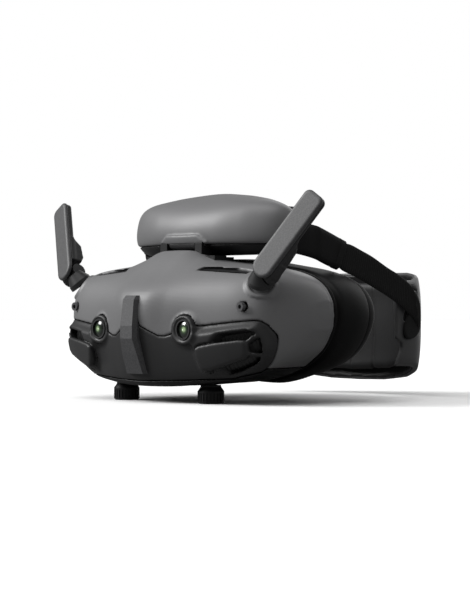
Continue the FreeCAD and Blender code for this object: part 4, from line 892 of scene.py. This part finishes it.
# ------------------------------------------------------------------ forehead cushion
gq = Grid((-1.6, 60.0, 81.0), (52.0, 80.0, 106.0), 0.7)
ymid = 71.8 - 0.0016 * gq.X ** 2
cz = 94.2 - 0.0010 * gq.X ** 2
cu = smax(smax(gq.X - 47.6, np.abs(gq.Z - cz) - 8.0, 6.0), np.abs(gq.Y - ymid) - 3.6, 4.5)
cu = cu + 0.5 * np.exp(-((gq.Y - ymid + 0.9) / 0.45) ** 2) + 0.35 * np.exp(-((np.abs(gq.X) - 16) / 0.8) ** 2) * (gq.Y > ymid)
V, Q = gq.mesh(cu)
V, Q = mirror_join(np.clip(V, [0, -99, -99], None), Q[V[Q].max(1)[:, 0] > 0.0001])
fc = add_mesh("forehead_pad", V, Q, MATS["pad_leather"], "forehead_unit", "pad_leather")
weld(fc, 0.00002)
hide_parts("forehead_cushion")


# ------------------------------------------------------------------ CAD nodes: finish and edges
slots = {s["node"]: s["material_slot"] for s in frame["record"]["subparts"]}
BEVEL = {"centre_bar": 0.35, "forehead_tray": 0.4, "hinge_bracket": 0.3, "strap_sleeve_left": 0.5, "strap_sleeve_right": 0.5, "cradle_shell": 0.7, "antenna_body_left": 0.35, "antenna_body_right": 0.35, "antenna_hub_left": 0.25, "antenna_hub_right": 0.25, "antenna_cover_left": 0.15, "antenna_cover_right": 0.15, "knob_left": 0.2, "knob_right": 0.2}
for name, o in frame["nodes"].items():
    m = MATS.get(slots.get(name), MATS["black_plastic"])
    # the cradle CAD node also gets the darker copy of the shell grey: painted shade
    if name.startswith("cradle_shell"):
        m = CRADLE_PAINTED_SHADE_GREY
    if name.startswith("strap_sleeve"):
        m = SLEEVE_MAT
    o.data.materials.clear()
    o.data.materials.append(m)
    if name in BEVEL:
        bv = o.modifiers.new("edge", "BEVEL")
        bv.width = BEVEL[name] * 0.001
        bv.segments = 3
        bv.limit_method = "ANGLE"
        bv.angle_limit = math.radians(32)
        bv.harden_normals = True

# ------------------------------------------------------------------ stage
def plane(name, pts, mat):
    me = bpy.data.meshes.new(name)
    me.from_pydata(pts, [], [tuple(range(len(pts)))])
    me.materials.append(mat)
    o = bpy.data.objects.new(name, me)
    bpy.context.scene.collection.objects.link(o)
    return o


floor_mat = surface_mat("floor_white", (0.99, 0.99, 0.99), 0.7, spread=0.004, grain=30, bump=0.001, big_spread=0.004)
fn_, fl_ = floor_mat.node_tree.nodes, floor_mat.node_tree.links
fp_ = fn_.new("ShaderNodeLightPath")
fm_ = fn_.new("ShaderNodeBsdfDiffuse")
fm_.inputs["Color"].default_value = (0.22, 0.22, 0.22, 1)
fx_ = fn_.new("ShaderNodeMixShader")
fl_.new(fp_.outputs["Is Camera Ray"], fx_.inputs[0])
fl_.new(fm_.outputs[0], fx_.inputs[1])
fl_.new(fn_["Principled BSDF"].outputs[0], fx_.inputs[2])
fl_.new(fx_.outputs[0], fn_["Material Output"].inputs["Surface"])
fl = plane("floor", [(-4, -4, 0), (4, -4, 0), (4, 4, 0), (-4, 4, 0)], floor_mat)


def area(name, loc, target, size, power, col=(1, 1, 1), size_y=None):
    d = bpy.data.lights.new(name, "AREA")
    d.energy = power
    d.size = size
    if size_y:
        d.shape = "RECTANGLE"
        d.size_y = size_y
    d.color = col
    o = bpy.data.objects.new(name, d)
    o.location = loc
    o.rotation_euler = (Vector(target) - Vector(loc)).to_track_quat("-Z", "Y").to_euler()
    bpy.context.scene.collection.objects.link(o)
    return o


T = Vector((0, -0.01285, 0.0492))
fwd = Vector((-0.7193, 0.6947, 0.0))
right = Vector((0.6947, 0.7193, 0.0))
up = Vector((0, 0, 1))


def place(r_, f_, u_):
    return T + right * r_ - fwd * f_ + up * u_


def sun(name, direction, strength, angle):
    d = bpy.data.lights.new(name, "SUN")
    d.energy = strength
    d.angle = math.radians(angle)
    o = bpy.data.objects.new(name, d)
    o.rotation_euler = (-Vector(direction)).to_track_quat("-Z", "Y").to_euler()
    bpy.context.scene.collection.objects.link(o)


sun("key", -right * 0.88 + fwd * 0.04 + up * 0.52, 3.3, 28)
sun("top", -right * 0.25 - fwd * 0.25 + up * 0.93, 1.5, 50)
sun("side", right * 0.80 - fwd * 0.45 + up * 0.55, 0.30, 60)
sun("back", right * 0.50 + fwd * 0.78 + up * 0.42, 1.0, 55)

world = bpy.data.worlds.new("studio")
bpy.context.scene.world = world
world.use_nodes = True
wn, wl = world.node_tree.nodes, world.node_tree.links
bg = wn["Background"]
bg.inputs[0].default_value = (1, 1, 1, 1)
lp = wn.new("ShaderNodeLightPath")
mr = wn.new("ShaderNodeMapRange")
mr.inputs["To Min"].default_value = 0.11
mr.inputs["To Max"].default_value = 1.0
wl.new(lp.outputs["Is Camera Ray"], mr.inputs["Value"])
wl.new(mr.outputs[0], bg.inputs[1])

cam = bpy.data.cameras.new("camera")
cam.lens = 122.4
cam.sensor_width = 36
cam.sensor_fit = "AUTO"
co = bpy.data.objects.new("camera", cam)
co.location = (0.7841, -0.77005, 0.0492)
co.rotation_euler = (T - Vector(co.location)).to_track_quat("-Z", "Y").to_euler()
bpy.context.scene.collection.objects.link(co)
bpy.context.scene.camera = co
bpy.context.scene.view_settings.view_transform = "Standard"
